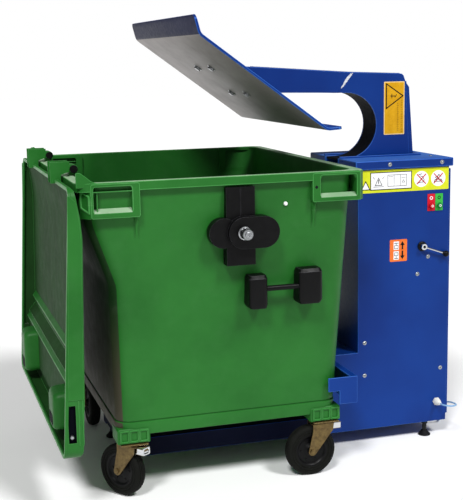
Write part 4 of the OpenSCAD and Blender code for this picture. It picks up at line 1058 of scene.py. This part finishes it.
# %% the arm's golden label
arm_film = -70
printed("label_arm_border", patch(862, 956, 1287, 1508, arm_film, 3, 0.4), "pale_film", "arm",
        stands_for=["arm_label"])
printed("label_arm_field", patch(865.5, 952.5, 1290.5, 1504.5, arm_film - 0.4, 2, 0.15), "golden_film", "arm")
arm_ink = arm_film - 0.5
tiny = np.random.default_rng(11)
marks = signs(arm_ink, (4.6, (873, 1397), (873, 1499), (949, 1448), (873, 1397)), (3.4, (893, 1448), (912, 1448)),
              (3, (898, 1440), (898, 1456)), (2.6, (912, 1443), (919, 1453)))
for column, start in ((926, 1418), (944, 1430)):
    down = start
    while down > 1300:
        size = 3 + 4 * tiny.random()
        marks.append(stroke([(column - 2.4, down), (column - 2.4, down - size)], 1.3, arm_ink, 0.2))
        marks.append(stroke([(column + 1.6, down - 1), (column + 1.6, down - size + 1)], 1.3, arm_ink, 0.2))
        down -= size + 4
printed("label_arm_ink", joined(*marks), "black_film", "arm")
print("labels have", len(marks) + len(drawing), "ink marks")

# %% [markdown]
# ## Buttons and lever
# A red and a green push button sit in raised collars on their legend plates, and a ball-ended rod
# works the valve. Collars, caps and ball are lathe shapes with the small radii of moulded parts.

# %% controls
collar = [(11.6, -246), (15, -246), (15, -251), (14, -252), (12.4, -252), (11.6, -251)]
cap = [(0, -238), (14.8, -238), (14.8, -241), (11, -241.4), (11, -257.4), (10.2, -259.4), (8.4, -260), (0, -259.2)]
sign_ring = [(4.4, -246.6), (7.2, -246.6), (7.2, -247.2), (4.4, -247.2)]
cap_ring = [(3, -259.5), (5, -259.5), (5, -260.2), (3, -260.2)]
BUTTON_HEIGHT = 1000
for x, cap_name, cap_slot, legend, sign, stands_for in (
        (997, "stop_button", "red_plastic", "legend_film", "white_film", ["button_legends"]),
        (1033, "start_button", "green_button", "legend_green", "black_film", ())):
    place_of = (x, 0, BUTTON_HEIGHT)
    plate_and_collar = joined(patch(x - 17, x + 17, 978, 1049, -245, 2, 1.8), turned(collar, place_of, ring=True))
    make(f"legend_{cap_name}", plate_and_collar, "machine", "legend_film", stands_for, looks=(legend,))
    make(f"legend_sign_{cap_name}", turned(sign_ring, (x, 0, BUTTON_HEIGHT + 32), ring=True),
         "machine", "legend_film", looks=(sign,))
    make(f"{cap_name}_made", turned(cap, place_of), body_of[cap_name], cap_slot, [cap_name], sharp=50)
    make(f"{cap_name}_mark", turned(cap_ring, place_of, steps=24, ring=True),
         body_of[cap_name], cap_slot, looks=("white_film",))

lever_pivot = (957, 0, 832)
boss = [(0, -245), (20, -245), (20, -250), (18.5, -251.6), (14, -253), (9, -253), (0, -253)]
boss_nose = [(0, -253), (6, -253), (6, -270.5), (5, -272), (0, -272)]
eye = [(6.2, -254), (12, -254), (13, -255), (13, -270), (12, -271), (6.2, -271)]
make("lever_boss_made", joined(turned(boss, lever_pivot), turned(boss_nose, lever_pivot, steps=24)),
     "machine", slot_of["lever_boss"], ["lever_boss"])
rod_start, rod_end = np.array([957.0, -263, 832]), np.array([1052.5, -263, 798.6])
rod_line = rod_start + np.linspace(0, 1, 12)[:, None] * (rod_end - rod_start)
rod = swept(rod_line[1:], disc(4, 16), side=ACROSS)
make("lever_rod_made", joined(turned(eye, lever_pivot, ring=True), rod),
     body_of["lever_rod"], slot_of["lever_rod"], ["lever_rod"])
polar = np.radians(np.linspace(-90, 90, 17))
ball_points, ball_faces = turned(np.stack([13 * np.cos(polar), 13 * np.sin(polar)], -1), (1060, -263, 796))
rod_dir = (rod_end - rod_start) / np.linalg.norm(rod_end - rod_start)
neck = swept([rod_end - 9 * rod_dir, rod_end - 4 * rod_dir, rod_end + 4 * rod_dir], disc(1, 20), side=ACROSS,
             size=(6.5, 7.5, 9))
make("lever_knob_made", joined((ball_points, ball_faces), neck), body_of["lever_knob"], slot_of["lever_knob"],
     ["lever_knob"], sharp=50)

# %% [markdown]
# ## Screws and the cable gland
# Pan-head screws hold the panels: a dome on a short rim with a cross in it. The gland is a nylon
# hexagon with a ridged cone that grips the lead where it leaves the cabinet.


# %% screws and gland
def screw(centre, across, out):
    """A pan head: dome, rim and washer along one axis, out being +1 or -1."""
    profile = [(0, 3.1), (2.4, 3), (4.4, 2.3), (5.6, 1.2), (6, 0.6), (8.5, 0.6), (8.8, 0.2), (8.8, -0.5), (0, -0.5)]
    return turned([(r, out * h) for r, h in profile], centre, across, 24)


near_screws = [(986, 786), (938, 715), (700, 440), (700, 300), (1050, 300)]
heads = [screw((x, -245, z), "y", -1) for x, z in near_screws]
heads += [screw((x, -255, 1180), "y", -1) for x in (805, 1040)]
heads += [screw((1040, y, 1197), "z", 1) for y in (-150, 150)]
heads += [screw((1090, -200, z), "x", 1) for z in (230, 892)]
make("panel_screws_made", joined(*heads), "machine", "steel", ["panel_screws"], sharp=50)
# The cross in each head is drawn as dark strokes: painted shade in the recess.
recess = [stroke([(x - 2.4, z), (x + 2.4, z)], 1.1, -248, 0.2) for x, z in near_screws]
recess += [stroke([(x, z - 2.4), (x, z + 2.4)], 1.1, -248, 0.2) for x, z in near_screws]
recess += [stroke([(x - 2.4, 1180), (x + 2.4, 1180)], 1.1, -258, 0.2) for x in (805, 1040)]
make("screw_crosses", joined(*recess), "machine", "steel", looks=("black_rubber",))
gland = (1033, 0, 153)
gland_cone = [(0, -244), (15.5, -252.6), (15.5, -255)] + [(15.4 - 0.8 * k + 0.5 * (k % 2), -256 - 2.4 * k)
                                                          for k in range(9)] + [(7.4, -277), (6.6, -280), (6.2, -284),
                                                                                (4.2, -285), (0, -285)]
make("cable_gland_made", joined(turned([(0, -245), (17, -245), (17.5, -246), (17.5, -252), (16.4, -253), (0, -253)],
                                       gland, steps=6), turned(gland_cone, gland)), "machine", "gland_plastic",
     ["cable_gland"], sharp=40)

# %% [markdown]
# ## Inside the cabinet
# The ram, the tank, the pump motor and the valve hide behind the panels, and show only through the
# slot when the arm is down. Their own solids are kept and get rounded edges.

# %% hydraulics
for node, bevel in (("cylinder_barrel", 1.5), ("cylinder_rod", 1), ("oil_tank", 2), ("pump_motor", 1.5),
                    ("valve_block", 1.2)):
    softened(node, bevel)
motor_low, motor_high = [(np.array(c) - [middle_x, 0, 0]) * 1000 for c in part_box("pump_motor")]
print("motor stands from", np.round(motor_low), "to", np.round(motor_high))

# %% [markdown]
# ## Floor and light
# A plain pale floor and a white surround. Two lamps high up in front, one on each side, stand for the
# hall's lights: every handle throws two soft shadows down the wall, and tops read lighter than
# sides. They are suns, because a sun lights a wide floor evenly all the way to the horizon.

# %% stage
floor_mesh = bpy.data.meshes.new("floor")
floor_mesh.from_pydata([(-40, -40, 0), (40, -40, 0), (40, 40, 0), (-40, 40, 0)], [], [(0, 1, 2, 3)])
floor = bpy.data.objects.new("floor", floor_mesh)
bpy.context.collection.objects.link(floor)
floor_tree, floor_shader, floor_place = new_finish("pale_floor", roughness=1.0, specular=0.0)
trowel = add(floor_tree, "ShaderNodeTexNoise", {"Vector": floor_place, "Scale": 3, "Detail": 4})
pale = add(floor_tree, "ShaderNodeMix", {0: trowel, 6: linear("#F6F6F6"), 7: linear("#FBFBFB")}, 2, data_type="RGBA")
feed(floor_tree, floor_shader, Base_Color=pale)
floor_mesh.materials.append(finishes["pale_floor"])


def hall_light(name, towards):
    """Light that falls everywhere alike along a direction, from a lamp that looks 12 degrees wide."""
    lamp = bpy.data.lights.new(name, "SUN")
    lamp.energy, lamp.angle = 2.0, math.radians(12)
    holder = bpy.data.objects.new(name, lamp)
    holder.rotation_euler = Vector(towards).to_track_quat("-Z", "Y").to_euler()
    bpy.context.collection.objects.link(holder)


hall_light("lamp_right", (-1.6, 3.1, -3.9))
hall_light("lamp_left", (1.9, 3.1, -3.9))
world = bpy.context.scene.world or bpy.data.worlds.new("surround")
bpy.context.scene.world = world
world.use_nodes = True
sky = world.node_tree
surround = sky.nodes["Background"]
surround.inputs["Color"].default_value = (1, 1, 1, 1)
seen = add(sky, "ShaderNodeLightPath", out="Is Camera Ray")
strength = add(sky, "ShaderNodeMapRange", {"Value": seen, "To Min": 0.2, "To Max": 1.0})
sky.links.new(strength, surround.inputs["Strength"])
bpy.context.scene.view_settings.view_transform = "Standard"
